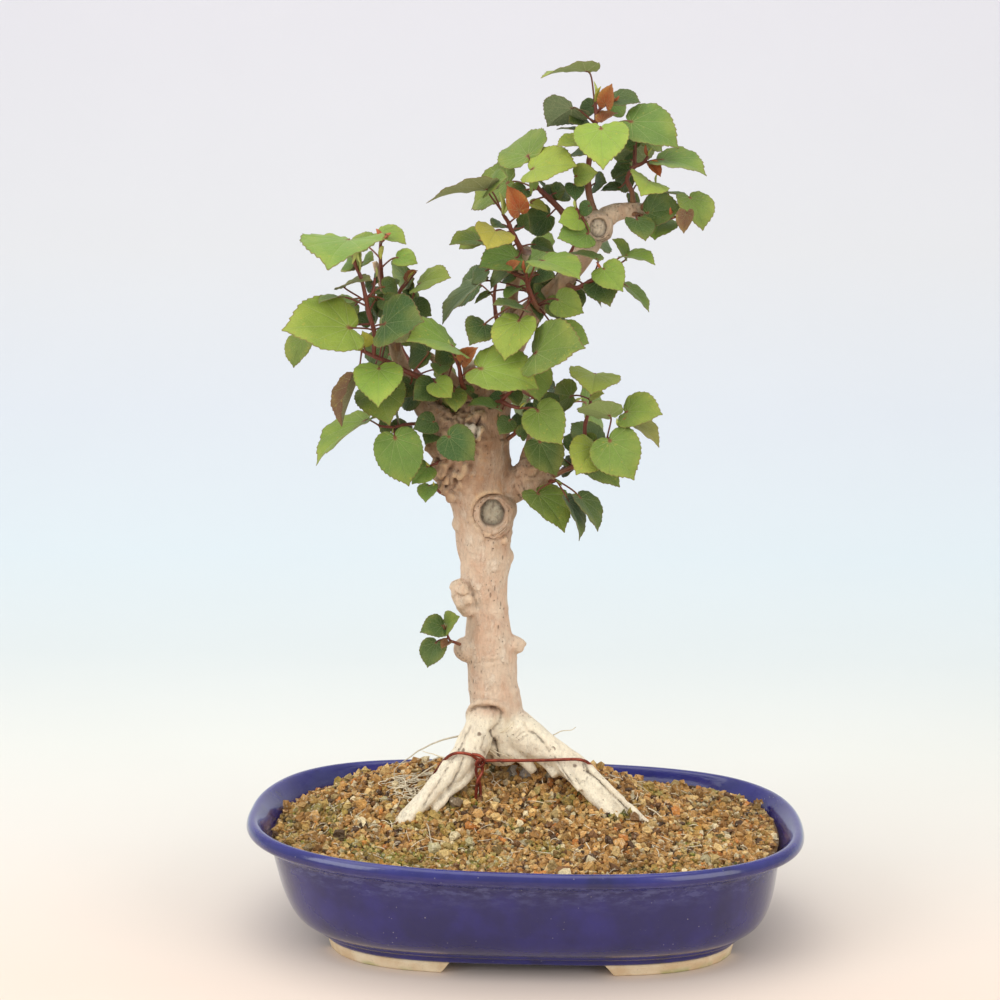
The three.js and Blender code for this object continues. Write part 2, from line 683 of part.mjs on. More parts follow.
    stems: [[[529, 252, -4, 2.4], [523, 251, 5, 2.2], [517, 242, 11, 2], [511, 230, 17, 1.8],
      [508, 222, 20, 1.5],
      [503, 214, 24, 1.1]]],
    leaves: [
      [486, 189, 425, 202, 38, 24, 100, 504, 215],
      [489, 188, 508, 176, 18, 24, 60, 504, 216],
      [519, 211, 507, 185, 17, 26, 10, 509, 224],
      [496, 231, 487, 249, 25, 32, 5, 515, 238],
      [478, 241, 449, 243, 19, 10, 60, 512, 232],
      [480, 236, 458, 249, -14, 2, 40, 513, 234],
      [516, 258, 478, 267, 26, 16, 45, 521, 249],
      [507, 247, 497, 238, -9, 2, 20, 518, 244],
      [524, 226, 527, 212, 10, 14, 30, 511, 230],
    ],
    hidden: 0,
  },
  {
    name: "spray_upper_left",
    stems: [[[586, 240, 2, 3.2], [567, 217, 2, 2.6], [550, 199, 4, 2.2], [540, 190, 6, 1.8],
      [534, 182, 8, 1.4]]],
    leaves: [
      [528, 156, 516, 139, -32, 8, 0, 534, 181],
      [533, 169, 578, 165, 30, 18, 50, 535, 183],
      [508, 183, 469, 209, -31, -6, 55, 541, 191],
      [551, 197, 558, 183, -13, -2, 20, 549, 199],
      [532, 204, 549, 212, 11, 14, 60, 546, 196],
      [548, 216, 526, 231, -18, -6, 20, 557, 206],
      [533, 189, 530, 172, 11, 16, 60, 537, 186],
    ],
    hidden: 0,
  },
  {
    name: "spray_knot",
    stems: [[[587, 229, 12, 2], [580, 214, 19, 1.6], [576, 208, 21, 1.3]]],
    leaves: [
      [579, 219, 558, 222, 15, 22, 20, 577, 209],
      [587, 234, 557, 238, 20, 22, 30, 580, 212],
      [589, 206, 579, 214, -9, 14, 20, 581, 212],
      [574, 185, 576, 201, 12, 18, 10, 576, 208],
    ],
    hidden: 0,
  },
  {
    name: "spray_top",
    stems: [
      [[597, 222, 6, 3], [590, 200, 6, 2.7], [588, 184, 6, 2.4], [589, 160, 6, 2],
        [594, 136, 7, 1.8], [596, 118, 8, 1.5],
        [595, 102, 8, 1.2]],
      [[596, 113, 8, 1.1], [604, 106, 11, 1], [613, 101, 13, 0.9]],
    ],
    leaves: [
      [586, 71, 540, 77, 31, 8, 97, 595, 102],
      [606, 105, 612, 83, 14, 14, 20, 604, 106],
      [614, 99, 641, 102, 17, 13, 55, 613, 101],
      [572, 108, 547, 126, -28, 12, 150, 595, 125],
      [602, 121, 618, 113, -14, 12, 60, 596, 120],
      [631, 122, 680, 146, 34, 16, 40, 594, 136],
      [601, 129, 603, 168, 30, 28, 0, 592, 144],
      [585, 142, 556, 146, 19, 18, 65, 591, 150],
      [579, 131, 556, 129, -15, 2, 85, 593, 140],
      [577, 176, 598, 172, 14, 24, 10, 588, 175],
      [586, 153, 568, 156, -14, -2, 70, 589, 158],
    ],
    hidden: 0,
  },
  {
    name: "spray_top_right",
    stems: [[[634, 211, 3, 2.3], [632, 192, 7, 1.9], [627, 179, 9, 1.7], [634, 168, 12, 1.5],
      [643, 163, 15, 1.3],
      [648, 156, 16, 1]]],
    leaves: [
      [662, 160, 708, 173, 30, 18, 65, 643, 163],
      [641, 136, 664, 151, -17, 8, 50, 635, 167],
      [634, 144, 628, 172, -26, 0, 170, 633, 169],
      [651, 164, 661, 177, 10, 22, 30, 643, 163],
      [630, 172, 616, 187, -18, 0, 30, 628, 181],
      [634, 146, 624, 131, -11, 6, 20, 634, 167],
      [618, 188, 600, 190, -11, 2, 60, 627, 180],
    ],
    hidden: 0,
  },
  {
    name: "spray_right_end",
    stems: [[[641, 211, 5, 2.1], [648, 199, 11, 1.7], [653, 190, 14, 1.4], [656, 183, 16, 1.1]]],
    leaves: [
      [649, 181, 642, 194, 23, 24, 0, 654, 187],
      [660, 193, 689, 198, 20, 8, 88, 647, 201],
      [648, 213, 683, 209, 23, -4, 30, 645, 205],
    ],
    hidden: 0,
  },
  {
    name: "spray_right_tip",
    stems: [[[628, 212, 4, 2], [645, 217, 15, 1.7], [658, 220, 22, 1.4], [672, 218, 26, 1.1],
      [686, 213, 26, 0.9]]],
    leaves: [
      [690, 198, 704, 230, 24, 20, 35, 686, 213],
      [687, 214, 684, 235, 14, 30, 15, 684, 214],
      [659, 221, 655, 239, 24, 27, 5, 662, 219],
      [637, 220, 646, 241, 18, 8, 30, 640, 215],
    ],
    hidden: 0,
  },
  {
    name: "spray_middle_right",
    stems: [[[566, 284, 6, 2.3], [576, 288, 16, 1.9], [589, 282, 20, 1.7], [601, 274, 24, 1.3]]],
    leaves: [
      [604, 269, 623, 291, 21, 28, 10, 601, 274],
      [599, 281, 610, 306, 22, 20, 5, 592, 280],
      [627, 287, 650, 312, 21, 12, 70, 600, 275],
      [581, 289, 603, 306, 17, 12, 82, 578, 288],
      [596, 259, 566, 253, -19, 18, 80, 592, 280],
      [626, 255, 613, 238, 13, 18, 60, 601, 274],
      [627, 256, 656, 263, 20, 20, 68, 601, 274],
    ],
    hidden: 0,
  },
  {
    name: "spray_back_left",
    stems: [[[452, 402, -2, 2.4], [430, 386, -20, 2], [410, 362, -30, 1.6], [398, 340, -36, 1.2]]],
    leaves: [],
    hidden: 3,
  },
  {
    name: "spray_back_centre",
    stems: [[[515, 350, -34, 2.4], [500, 330, -42, 1.9], [494, 300, -46, 1.5], [496, 280, -48, 1.2]]],
    leaves: [],
    hidden: 3,
  },
  {
    name: "spray_back_right",
    stems: [[[500, 377, -18, 2.4], [526, 392, -34, 2], [552, 404, -40, 1.6], [574, 402, -44, 1.2]]],
    leaves: [],
    hidden: 3,
  },
  {
    name: "spray_back_upper",
    stems: [[[546, 302, -50, 2.4], [560, 272, -48, 1.9], [574, 246, -42, 1.5], [584, 222, -38, 1.2]]],
    leaves: [],
    hidden: 3,
  },
  {
    name: "sprout_low",
    stems: [[[466, 647, 4, 1.6], [456, 643, 11, 1.2], [450, 640, 14, 1], [446, 631, 15, 0.9]]],
    leaves: [
      [442, 626, 420, 632, 17, 15, 20, 446, 631],
      [447, 626, 459, 616, 14, 15, 40, 446, 631],
      [436, 643, 427, 668, 18, 16, 20, 449, 638],
      [448, 643, 441, 650, 9.6, 18, 30, 451, 641],
    ],
    hidden: 0,
  },
];

// The rule for leaves behind a stem: they turn about it by the golden angle and hang outwards.
const GOLDEN_ANGLE = 2.39996;

// Across, down and near at a share of the way between two stations of a stem.
function between(a, b, share) {
  return [0, 1, 2].map((i) => a[i] * (1 - share) + b[i] * share);
}

function hiddenLeaves(shoot, number) {
  const stem = shoot.stems[0];
  const rows = [];
  for (let k = 0; k < shoot.hidden; k += 1) {
    const place = (0.3 + (0.65 * (k + 1)) / shoot.hidden) * (stem.length - 1);
    const from = Math.min(Math.floor(place), stem.length - 2);
    const share = Math.min(place - from, 1);
    const [across, down, near] = between(stem[from], stem[from + 1], share);
    const angle = GOLDEN_ANGLE * (k + 3 * number);
    const out = Math.cos(angle);
    const length = 22 + 9 * chance(10 * number + k);
    rows.push([
      across + 20 * out, down - 6 + 10 * Math.sin(angle),
      across + 44 * out, down + 8 + 14 * Math.sin(angle),
      -length, near - 10 - 8 * chance(10 * number + k + 5), 50, across, down,
    ]);
  }
  return rows;
}

// Half of a leaf's outline, from beside the foot to beside the tip, in shares of the length: along
// the midrib and out from it. Large leaves have the fullest outline.
const LARGE_OUTLINE = [[-0.13, 0.2], [0.0, 0.44], [0.27, 0.52], [0.58, 0.43], [0.82, 0.2]];
const MIDDLE_OUTLINE = [[-0.13, 0.24], [0.06, 0.47], [0.4, 0.48], [0.74, 0.28]];
const SMALL_OUTLINE = [[-0.08, 0.34], [0.44, 0.47]];

// Place of a blade: its foot, its directions along, across and out of the upper side, its length.
function bladePlace([footX, footY, tipX, tipY, length, near, turn], slide) {
  const foot = seen(footX, footY, near + slide);
  const flat = seen(tipX, tipY, near + slide).distanceTo(foot);
  const lean = Math.sqrt(Math.max(0, length * length - flat * flat)) * Math.sign(length);
  const along = seen(tipX, tipY, near + slide + lean).sub(foot);
  const size = along.length();
  along.normalize();
  const face = EYE.clone().sub(foot);
  face.addScaledVector(along, -face.dot(along)).normalize();
  const rise = along.clone().cross(face);
  if (rise.z < 0) rise.negate();
  const angle = THREE.MathUtils.degToRad(turn);
  const upper = face.multiplyScalar(Math.cos(angle)).addScaledVector(rise, Math.sin(angle));
  const across = upper.clone().cross(along);
  return { foot, along, across, upper, size };
}

function halfOutline(size) {
  if (size >= LARGE_LEAF) return LARGE_OUTLINE;
  return size >= MIDDLE_LEAF ? MIDDLE_OUTLINE : SMALL_OUTLINE;
}

// Four corners of a leaf stalk round a point, for the stalk's direction and the way its width lies.
function stalkRing(centre, direction, width) {
  const across = width.clone().addScaledVector(direction, -width.dot(direction)).normalize();
  const upper = direction.clone().cross(across);
  return [[-1, 1], [1, 1], [1, -1], [-1, -1]].map(([a, u]) =>
    centre.clone().addScaledVector(across, a * PETIOLE_HALF).addScaledVector(upper, u * PETIOLE_HALF),
  );
}

// A leaf as one solid: a heart shaped blade, folded up along its midrib and arched along it, and a
// four sided stalk from the notch at its foot to a point in the stem. The triangles of both faces
// fan out alike from the notch. Where the stalk folds back over the blade it is a rod of its own.
function leafSolid(place, from) {
  const { foot, along, across, upper, size } = place;
  const half = halfOutline(size);
  const neck = PETIOLE_HALF / size;
  const left = half.map(([s, w]) => [s, -w]).reverse();
  const outline = [[0.02, neck], ...half, [1, 0], ...left, [0.02, -neck]];
  const tip = half.length + 1;
  const last = outline.length - 1;
  const under = outline.length;
  const points = [];
  for (const lift of [BLADE_THICKNESS / 2, -BLADE_THICKNESS / 2]) {
    for (const [s, w] of outline) {
      const height = size * (FOLD * Math.abs(w) + 4 * ARCH * s * (1 - s)) + lift;
      const point = foot.clone().addScaledVector(along, s * size).addScaledVector(across, w * size);
      points.push(point.addScaledVector(upper, height));
    }
  }
  const index = [];
  const bothFaces = (a, b, c) => index.push(a, c, b, under + a, under + b, under + c);
  for (let i = 1; i < tip; i += 1) bothFaces(0, i, i + 1);
  for (let i = tip; i < last - 1; i += 1) bothFaces(last, i, i + 1);
  bothFaces(0, tip, last);
  for (let i = 0; i < last; i += 1) index.push(i, i + 1, under + i + 1, i, under + i + 1, under + i);

  const bend = foot.clone().addScaledVector(along, -PETIOLE_BEND);
  const run = bend.clone().sub(from).normalize();
  const folded = run.dot(along) < FOLDED_STALK;
  const bendRing = stalkRing(bend, folded ? along : run.clone().add(along).normalize(), across);
  const rootRing = stalkRing(from, run, bendRing[1].clone().sub(bendRing[0]));
  let ring = [last, 0, under, under + last];
  for (const corners of folded ? [bendRing] : [bendRing, rootRing]) {
    const next = corners.map((corner, k) => points.length + k);
    points.push(...corners);
    for (let k = 0; k < 4; k += 1) {
      const after = (k + 1) % 4;
      index.push(ring[k], ring[after], next[after], ring[k], next[after], next[k]);
    }
    ring = next;
  }
  index.push(ring[0], ring[1], ring[2], ring[0], ring[2], ring[3]);

  const geometry = new THREE.BufferGeometry().setFromPoints(points);
  geometry.setIndex(index);
  const solid = toSolid(geometry);
  if (!folded) return solid;
  const stations = [bend, from].map((point) => ({ point, radius: 1.3 * PETIOLE_HALF }));
  return solid.add(limb(stations, 4));
}

// The point on a shoot's stems that shows nearest to a grid place.
function stemPoint(stems, across, down) {
  let best = { gap: Infinity };
  for (const stem of stems) {
    for (let i = 0; i + 1 < stem.length; i += 1) {
      for (let share = 0; share <= 1; share += 0.1) {
        const [x, y, near] = between(stem[i], stem[i + 1], share);
        const gap = Math.hypot(x - across, y - down);
        if (gap < best.gap) best = { gap, point: seen(x, y, near) };
      }
    }
  }
  return best.point;
}

function apart(a, b) {
  const boxA = a.boundingBox();
  const boxB = b.boundingBox();
  const clear = [0, 1, 2].some(
    (i) => boxA.min[i] > boxB.max[i] + SEAT_GAP || boxB.min[i] > boxA.max[i] + SEAT_GAP,
  );
  return clear || a.minGap(b, 1) >= SEAT_GAP;
}

// Slides along the line of sight, in millimetres, that are tried in turn until a leaf is clear.
const SLIDES = [0, 4, -4, 8, -8, 12, -12, 17, -17, 22, -22, 28, -28];

// The first slide that sets a leaf clear of all that stands already, its own shoot's leaves too
// where it can, and on its stem. mayCross lets it cross leaves of its own shoot.
function findLeaf(row, from, trunk, own, others, mayCross) {
  const tries = SLIDES.map((slide) => leafSolid(bladePlace(row, slide), from)).filter(
    (leaf) =>
      own[0].add(leaf).decompose().length === 1 &&
      [trunk, ...others].every((piece) => apart(leaf, piece)),
  );
  const free = tries.find((leaf) => own.slice(1).every((piece) => apart(leaf, piece)));
  return free ?? (mayCross ? tries[0] : undefined);
}

// Stems first, then leaf after leaf, each where it is clear of all that stands already.
function makeShoots(trunk, trunkGrown) {
  const placed = SHOOTS.map(({ stems }) => {
    const limbs = stems.map((stations, i) => seenLimb(stations, i === 0 ? 5 : 4));
    return [largestBody(join(limbs).subtract(trunkGrown))];
  });
  SHOOTS.forEach((shoot, number) => {
    const others = placed.filter((pieces, i) => i !== number).flat();
    const rows = [...shoot.leaves, ...hiddenLeaves(shoot, number)];
    rows.forEach((row, i) => {
      if (Math.abs(row[4]) < SMALLEST_LEAF) return;
      const from = stemPoint(shoot.stems, row[7], row[8]);
      const leaf = findLeaf(row, from, trunk, placed[number], others, i < shoot.leaves.length);
      if (leaf) placed[number].push(leaf);
    });
  });
  return placed.map(join);
}

// Finishes

const GLAZE = new THREE.MeshStandardMaterial({ color: 0x34318a, roughness: 0.18, metalness: 0 });
const SOIL = new THREE.MeshStandardMaterial({ color: 0xa07a45, roughness: 0.95, metalness: 0 });
const PLASTIC = new THREE.MeshStandardMaterial({ color: 0x2c2f2c, roughness: 0.6, metalness: 0 });
const WIRE = new THREE.MeshStandardMaterial({ color: 0x8c4632, roughness: 0.35, metalness: 0.9 });
const BARK = new THREE.MeshStandardMaterial({ color: 0xcdb295, roughness: 0.85, metalness: 0 });
const LEAF = new THREE.MeshStandardMaterial({ color: 0x6f9638, roughness: 0.5, metalness: 0 });

const bonsai = new THREE.Group();

function addNode(name, solid, material) {
  const mesh = new THREE.Mesh(toGeometry(solid), material);
  mesh.name = name;
  bonsai.add(mesh);
}

const trunk = makeTrunk();
const trunkGrown = makeTrunk(SEAT_GAP);
const wire = largestBody(makeWire().subtract(trunkGrown));
const meshes = [-1, 1].map(makeDrainMesh);
const soil = makeSoil()
  .subtract(trunkGrown)
  .subtract(makeWire(SEAT_GAP))
  .subtract(join([-1, 1].map(makeMeshBed)));

addNode("pot", makePot(), GLAZE);
addNode("soil", largestBody(soil), SOIL);
addNode("drain_mesh_left", meshes[0], PLASTIC);
addNode("drain_mesh_right", meshes[1], PLASTIC);
addNode("tie_wire", wire, WIRE);
addNode("trunk", trunk, BARK);
makeShoots(trunk, trunkGrown).forEach((solid, number) => addNode(SHOOTS[number].name, solid, LEAF));

export default bonsai;
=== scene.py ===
"""Sea hibiscus bonsai in a blue glazed oval pot.

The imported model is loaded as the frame, and each of its pieces is dressed or replaced by a finer
one here. Shapes are worked out in millimetres and put into their meshes in metres.
"""

import logging
import math
from dataclasses import dataclass, field
from enum import Enum
from typing import Any, Callable, Iterable, Sequence

import bpy
import numpy as np
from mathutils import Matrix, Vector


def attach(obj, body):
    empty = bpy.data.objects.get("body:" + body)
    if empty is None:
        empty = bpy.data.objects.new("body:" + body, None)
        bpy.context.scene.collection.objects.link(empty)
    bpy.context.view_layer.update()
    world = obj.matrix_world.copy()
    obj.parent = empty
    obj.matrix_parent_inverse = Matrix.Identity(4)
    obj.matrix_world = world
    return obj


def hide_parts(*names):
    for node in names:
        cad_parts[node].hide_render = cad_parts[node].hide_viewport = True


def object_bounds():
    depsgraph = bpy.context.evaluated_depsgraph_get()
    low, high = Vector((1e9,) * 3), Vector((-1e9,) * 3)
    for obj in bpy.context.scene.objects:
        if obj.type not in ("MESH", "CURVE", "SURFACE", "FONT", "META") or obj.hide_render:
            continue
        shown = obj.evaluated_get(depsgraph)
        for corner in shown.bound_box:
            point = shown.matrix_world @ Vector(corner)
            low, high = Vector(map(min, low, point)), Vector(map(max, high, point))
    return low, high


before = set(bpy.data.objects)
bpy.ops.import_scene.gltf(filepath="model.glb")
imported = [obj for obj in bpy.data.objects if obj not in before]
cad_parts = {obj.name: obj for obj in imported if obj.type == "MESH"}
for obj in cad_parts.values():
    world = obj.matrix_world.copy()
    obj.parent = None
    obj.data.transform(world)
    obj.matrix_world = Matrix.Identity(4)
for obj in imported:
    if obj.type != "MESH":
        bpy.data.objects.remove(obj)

CAD_BOX = [list(corner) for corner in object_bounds()]
BODY = "root"
METRES = 0.001
TURN = 2 * math.pi

log = logging.getLogger("bonsai")

Rows = Sequence[Sequence[float]]
Colour = tuple[float, float, float, float]


# The front view in which the tree is laid out: 1000 by 1000 grid steps seen from one eye point.

EYE_DISTANCE, EYE_HEIGHT, EYE_SIDE = 1400.0, 512.0, -15.5
EYE_PITCH, EYE_TURN = math.radians(9.85), math.radians(3)
TREE_SET_BACK = 20.0
GRID_FOCUS, GRID_CENTRE = 2378.0, 500.0
RIGHT = np.array([math.cos(EYE_TURN), math.sin(EYE_TURN), 0.0])
AHEAD = np.array([-math.sin(EYE_TURN), math.cos(EYE_TURN), 0.0])
UP = np.array([0.0, 0.0, 1.0])
EYE = RIGHT * EYE_SIDE - AHEAD * EYE_DISTANCE + UP * EYE_HEIGHT


def seen(across: Any, down: Any, near: Any) -> np.ndarray:
    """Points of the object that show at grid places.

    A ray leaves the eye through the grid place, and is followed until it is the trunk's distance
    less `near` away, measured straight ahead.

    Args:
        across: Grid steps from the left.
        down: Grid steps from the top.
        near: Millimetres nearer to the eye than the trunk.

    Returns:
        Points in millimetres, with the three coordinates last.
    """
    across, down, near = np.broadcast_arrays(*(np.asarray(v, float) for v in (across, down, near)))
    a = (across - GRID_CENTRE) / GRID_FOCUS
    b = (GRID_CENTRE - down) / GRID_FOCUS
    forward = math.cos(EYE_PITCH) + b * math.sin(EYE_PITCH)
    rise = b * math.cos(EYE_PITCH) - math.sin(EYE_PITCH)
    reach = (EYE_DISTANCE + TREE_SET_BACK - near) / forward
    return (EYE + (reach * forward)[..., None] * AHEAD + (reach * rise)[..., None] * UP
            + (reach * a)[..., None] * RIGHT)


def gridded(points: np.ndarray) -> tuple[np.ndarray, np.ndarray, np.ndarray]:
    """Grid places at which points show: steps across, steps down, and millimetres of one step."""
    away = points - EYE
    ahead, rise, aside = away @ AHEAD, away @ UP, away @ RIGHT
    deep = ahead * math.cos(EYE_PITCH) - rise * math.sin(EYE_PITCH)
    lifted = ahead * math.sin(EYE_PITCH) + rise * math.cos(EYE_PITCH)
    return GRID_CENTRE + GRID_FOCUS * aside / deep, GRID_CENTRE - GRID_FOCUS * lifted / deep, deep / GRID_FOCUS


def unit(vectors: np.ndarray) -> np.ndarray:
    """The vectors, each divided by its length."""
    return vectors / np.maximum(np.linalg.norm(vectors, axis=-1, keepdims=True), 1e-9)


def scattered(turn: Any) -> Any:
    """The fraction of sin(turn) * 43758.5453, a repeatable number from 0 to 1."""
    value = np.sin(turn) * 43758.5453
    return value - np.floor(value)


def chance(seed: Any) -> Any:
    """A repeatable number from 0 to 1 for a seed."""
    return scattered(np.asarray(seed, float) * 12.9898)


def ease(low: float, high: float, value: Any) -> np.ndarray:
    """A smooth step, 0 below low and 1 above high: t squared times (3 - 2 t)."""
    t = np.clip((np.asarray(value, float) - low) / (high - low), 0, 1)
    return t * t * (3 - 2 * t)


def grain(points: np.ndarray, size: float, seed: int = 0, octaves: int = 1) -> np.ndarray:
    """Smooth noise from -1 to 1 in space.

    Each corner of a lattice has a repeatable number, and a point takes the smoothly weighted mean
    of its cell's eight corners. Each octave halves the size and the height.

    Args:
        points: Points in millimetres, with the three coordinates last.
        size: Lattice spacing in millimetres.
        seed: Chooses another pattern.
        octaves: Number of layers.

    Returns:
        One number for each point.
    """
    total = np.zeros(points.shape[:-1])
    height, whole = 1.0, 0.0
    for octave in range(octaves):
        place = points / size * 2**octave + 31.7 * (seed + octave)
        cell = np.floor(place)
        share = place - cell
        share = share * share * (3 - 2 * share)
        layer = np.zeros_like(total)
        for corner in range(8):
            step = np.array([corner & 1, corner >> 1 & 1, corner >> 2 & 1])
            weight = np.prod(np.where(step == 1, share, 1 - share), axis=-1)
            code = scattered((cell + step) @ np.array([127.1, 311.7, 74.7]) + 13.3 * seed)
            layer += weight * (2 * code - 1)
        total += height * layer
        whole += height
        height *= 0.5
    return total / whole


# Surfaces

def smooth_run(rows: Any, steps: int) -> np.ndarray:
    """More rows along a smooth run through the given ones.

    Between two rows each column follows a Catmull-Rom cubic through its four nearest rows.

    Args:
        rows: Stations, one row each, with any number of columns.
        steps: Rows made for each span.

    Returns:
        The finer rows, the last given row included.
    """
    rows = np.asarray(rows, float)
    wide = np.vstack([2 * rows[0] - rows[1], rows, 2 * rows[-1] - rows[-2]])
    a, b, c, d = wide[:-3, None], wide[1:-2, None], wide[2:-1, None], wide[3:, None]
    t = (np.arange(steps) / steps)[None, :, None]
    run = 0.5 * (2 * b + (c - a) * t + (2 * a - 5 * b + 4 * c - d) * t**2 + (3 * b - a - 3 * c + d) * t**3)
    return np.vstack([run.reshape(-1, rows.shape[1]), rows[-1:]])


def cut_corners(rows: Any, rounds: int) -> np.ndarray:
    """A profile with its corners cut: each side keeps its quarter and three quarter points."""
    rows = np.asarray(rows, float)
    for _ in range(rounds):
        middle = np.stack([0.75 * rows[:-1] + 0.25 * rows[1:], 0.25 * rows[:-1] + 0.75 * rows[1:]], 1)
        rows = np.vstack([rows[:1], middle.reshape(-1, rows.shape[1]), rows[-1:]])
    return rows


def shaken(line: np.ndarray, size: float, reach: float) -> np.ndarray:
    """A line moved by noise, at most reach millimetres along each direction."""
    return line + reach * np.stack([grain(line, size, seed) for seed in (1, 2, 3)], -1)


def oval_reach(angle: Any, half_x: Any, half_y: Any, power: Any) -> np.ndarray:
    """How far out a rounded oval lies in a direction: |x / a| to the power p plus |y / b| to the p is 1."""
    across, deep = np.abs(np.cos(angle)) / half_x, np.abs(np.sin(angle)) / half_y
    return (across**power + deep**power) ** (-1 / power)


def carried(path: np.ndarray, radius: Any, sides: int, flat: float = 1.0) -> np.ndarray:
    """Rings of a round profile carried along a path.

    A point of ring i is path[i] + radius[i] (spoke cos(angle) + flat second sin(angle)). The spoke
    of each ring is the one before it with its part along the path taken out.

    Args:
        path: Points of the middle line.
        radius: Radius at each of them, one number or one for each side.
        sides: Points of a ring.
        flat: Share of the radius across the second direction.

    Returns:
        Points in a grid of rings by sides.
    """
    tangents = unit(np.gradient(path, axis=0))
    spoke = np.array([0.31, 0.17, 0.94])
    spokes = np.empty_like(path)
    for number, tangent in enumerate(tangents):
        spoke = unit(spoke - spoke @ tangent * tangent)
        spokes[number] = spoke
    seconds = np.cross(tangents, spokes)
    angle = np.arange(sides) / sides * TURN
    radius = np.asarray(radius, float)
    radius = np.broadcast_to(radius if radius.ndim == 2 else np.atleast_1d(radius)[:, None], (len(path), sides))
    return (path[:, None] + (radius * np.cos(angle))[..., None] * spokes[:, None]
            + (flat * radius * np.sin(angle))[..., None] * seconds[:, None])


@dataclass
class Form:
    """Patches of surface collected for one mesh, in millimetres."""

    points: list[np.ndarray] = field(default_factory=list)
    quads: list[np.ndarray] = field(default_factory=list)
    triangles: list[np.ndarray] = field(default_factory=list)
    tints: list[np.ndarray] = field(default_factory=list)
    traits: list[np.ndarray] = field(default_factory=list)
    places: list[np.ndarray] = field(default_factory=list)
    count: int = 0
    smooth: bool = True

    def add(self, points: np.ndarray, quads: np.ndarray | None = None, triangles: np.ndarray | None = None,
            tint: Any = (1, 1, 1), trait: Any = (0, 0, 0), place: Any = (0, 0)) -> None:
        """Adds a patch.

        Args:
            points: Its points, with the coordinates last.
            quads: Four point numbers for each four sided face.
            triangles: Three point numbers for each triangle.
            tint: Linear colour of the patch or of each point.
            trait: Three numbers for the patch or for each point, which its finish reads.
            place: Two numbers for the patch or for each point, kept as its UV map.
        """
        flat = np.asarray(points, float).reshape(-1, 3)
        self.points.append(flat)
        for faces, kept, size in ((quads, self.quads, 4), (triangles, self.triangles, 3)):
            if faces is not None and len(faces):
                kept.append(np.asarray(faces, int).reshape(-1, size) + self.count)
        for values, kept, size in ((tint, self.tints, 3), (trait, self.traits, 3), (place, self.places, 2)):
            values = np.asarray(values, float)
            kept.append(np.broadcast_to(values.reshape(-1, size) if values.ndim > 1 else values, (len(flat), size)))
        self.count += len(flat)

    def add_rings(self, rings: np.ndarray, flip: bool = False, **values: Any) -> None:
        """Adds a closed surface of rings, each end drawn together in a middle point.

        Args:
            rings: Points in a grid of rings by sides, turning anticlockwise about the path.
            flip: Turns the faces round, for rings that turn clockwise.
            values: tint, trait and place, as for add, for the whole, each ring or each ring point.
        """
        count, sides = rings.shape[:2]
        first = np.arange(count - 1)[:, None] * sides
        here = np.arange(sides)[None]
        after = (here + 1) % sides
        quads = np.stack([first + here, first + after, first + sides + after, first + sides + here], -1)
        hub = count * sides
        last = hub - sides
        ends = np.concatenate([
            np.stack([np.full(sides, hub), after[0], here[0]], -1),
            np.stack([np.full(sides, hub + 1), last + here[0], last + after[0]], -1),
        ])
        quads = quads.reshape(-1, 4)
        if flip:
            quads, ends = quads[:, ::-1], ends[:, ::-1]

        def with_ends(values: Any) -> Any:
            """The values of all ring points, then the means of the first and of the last ring."""
            values = np.asarray(values, float)
            if values.ndim < 2:
                return values
            if values.ndim == 2:
                values = np.broadcast_to(values[:, None], (count, sides, values.shape[-1]))
            whole = values.reshape(-1, values.shape[-1])
            return np.vstack([whole, values[0].mean(0), values[-1].mean(0)])

        values = {name: with_ends(value) for name, value in values.items()}
        self.add(with_ends(rings), quads, ends, **values)

    def mesh(self, name: str) -> bpy.types.Mesh:
        """The mesh of all patches, in metres, with its tint, trait and UV map."""
        points = np.vstack(self.points) * METRES
        quads = np.vstack(self.quads) if self.quads else np.zeros((0, 4), int)
        triangles = np.vstack(self.triangles) if self.triangles else np.zeros((0, 3), int)
        corners = np.concatenate([quads.ravel(), triangles.ravel()])
        starts = np.concatenate([np.arange(len(quads)) * 4, quads.size + np.arange(len(triangles)) * 3])
        mesh = bpy.data.meshes.new(name)
        mesh.vertices.add(len(points))
        mesh.vertices.foreach_set("co", points.astype(np.float32).ravel())
        mesh.loops.add(len(corners))
        mesh.loops.foreach_set("vertex_index", corners.astype(np.int32))
        mesh.polygons.add(len(starts))
        mesh.polygons.foreach_set("loop_start", starts.astype(np.int32))
        mesh.polygons.foreach_set("use_smooth", np.full(len(starts), self.smooth))
        mesh.update(calc_edges=True)
        places = mesh.uv_layers.new(name="place")
        places.data.foreach_set("uv", np.vstack(self.places)[corners].astype(np.float32).ravel())
        for label, kept in (("tint", self.tints), ("trait", self.traits)):
            put_values(mesh, label, np.vstack(kept))
        return mesh

    def piece(self, name: str, finish: "Finish", slot: str, replaces: Iterable[str] = ()) -> None:
        """Settles the form as a piece, with the arguments of settle."""
        settle(name, self.mesh(name), finish, replaces)


def settle(name: str, mesh: bpy.types.Mesh, finish: "Finish", replaces: Iterable[str] = ()) -> None:
    """Makes a piece of a mesh, puts it on the body and reports it.

    Args:
        name: Name of the piece.
        mesh: Its mesh.
        finish: Its material.
        replaces: CAD nodes that it stands for.
    """
    mesh.materials.clear()
    mesh.materials.append(finish.material())
    piece = linked(name, mesh)
    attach(piece, BODY)
    if replaces:
        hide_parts(*replaces)
    log.info("%s: %d triangles", name, len(mesh.loops) - 2 * len(mesh.polygons))


def linked(name: str, data: Any) -> bpy.types.Object:
    """A new object of the scene that holds the data."""
    thing = bpy.data.objects.new(name, data)
    bpy.context.scene.collection.objects.link(thing)
    return thing


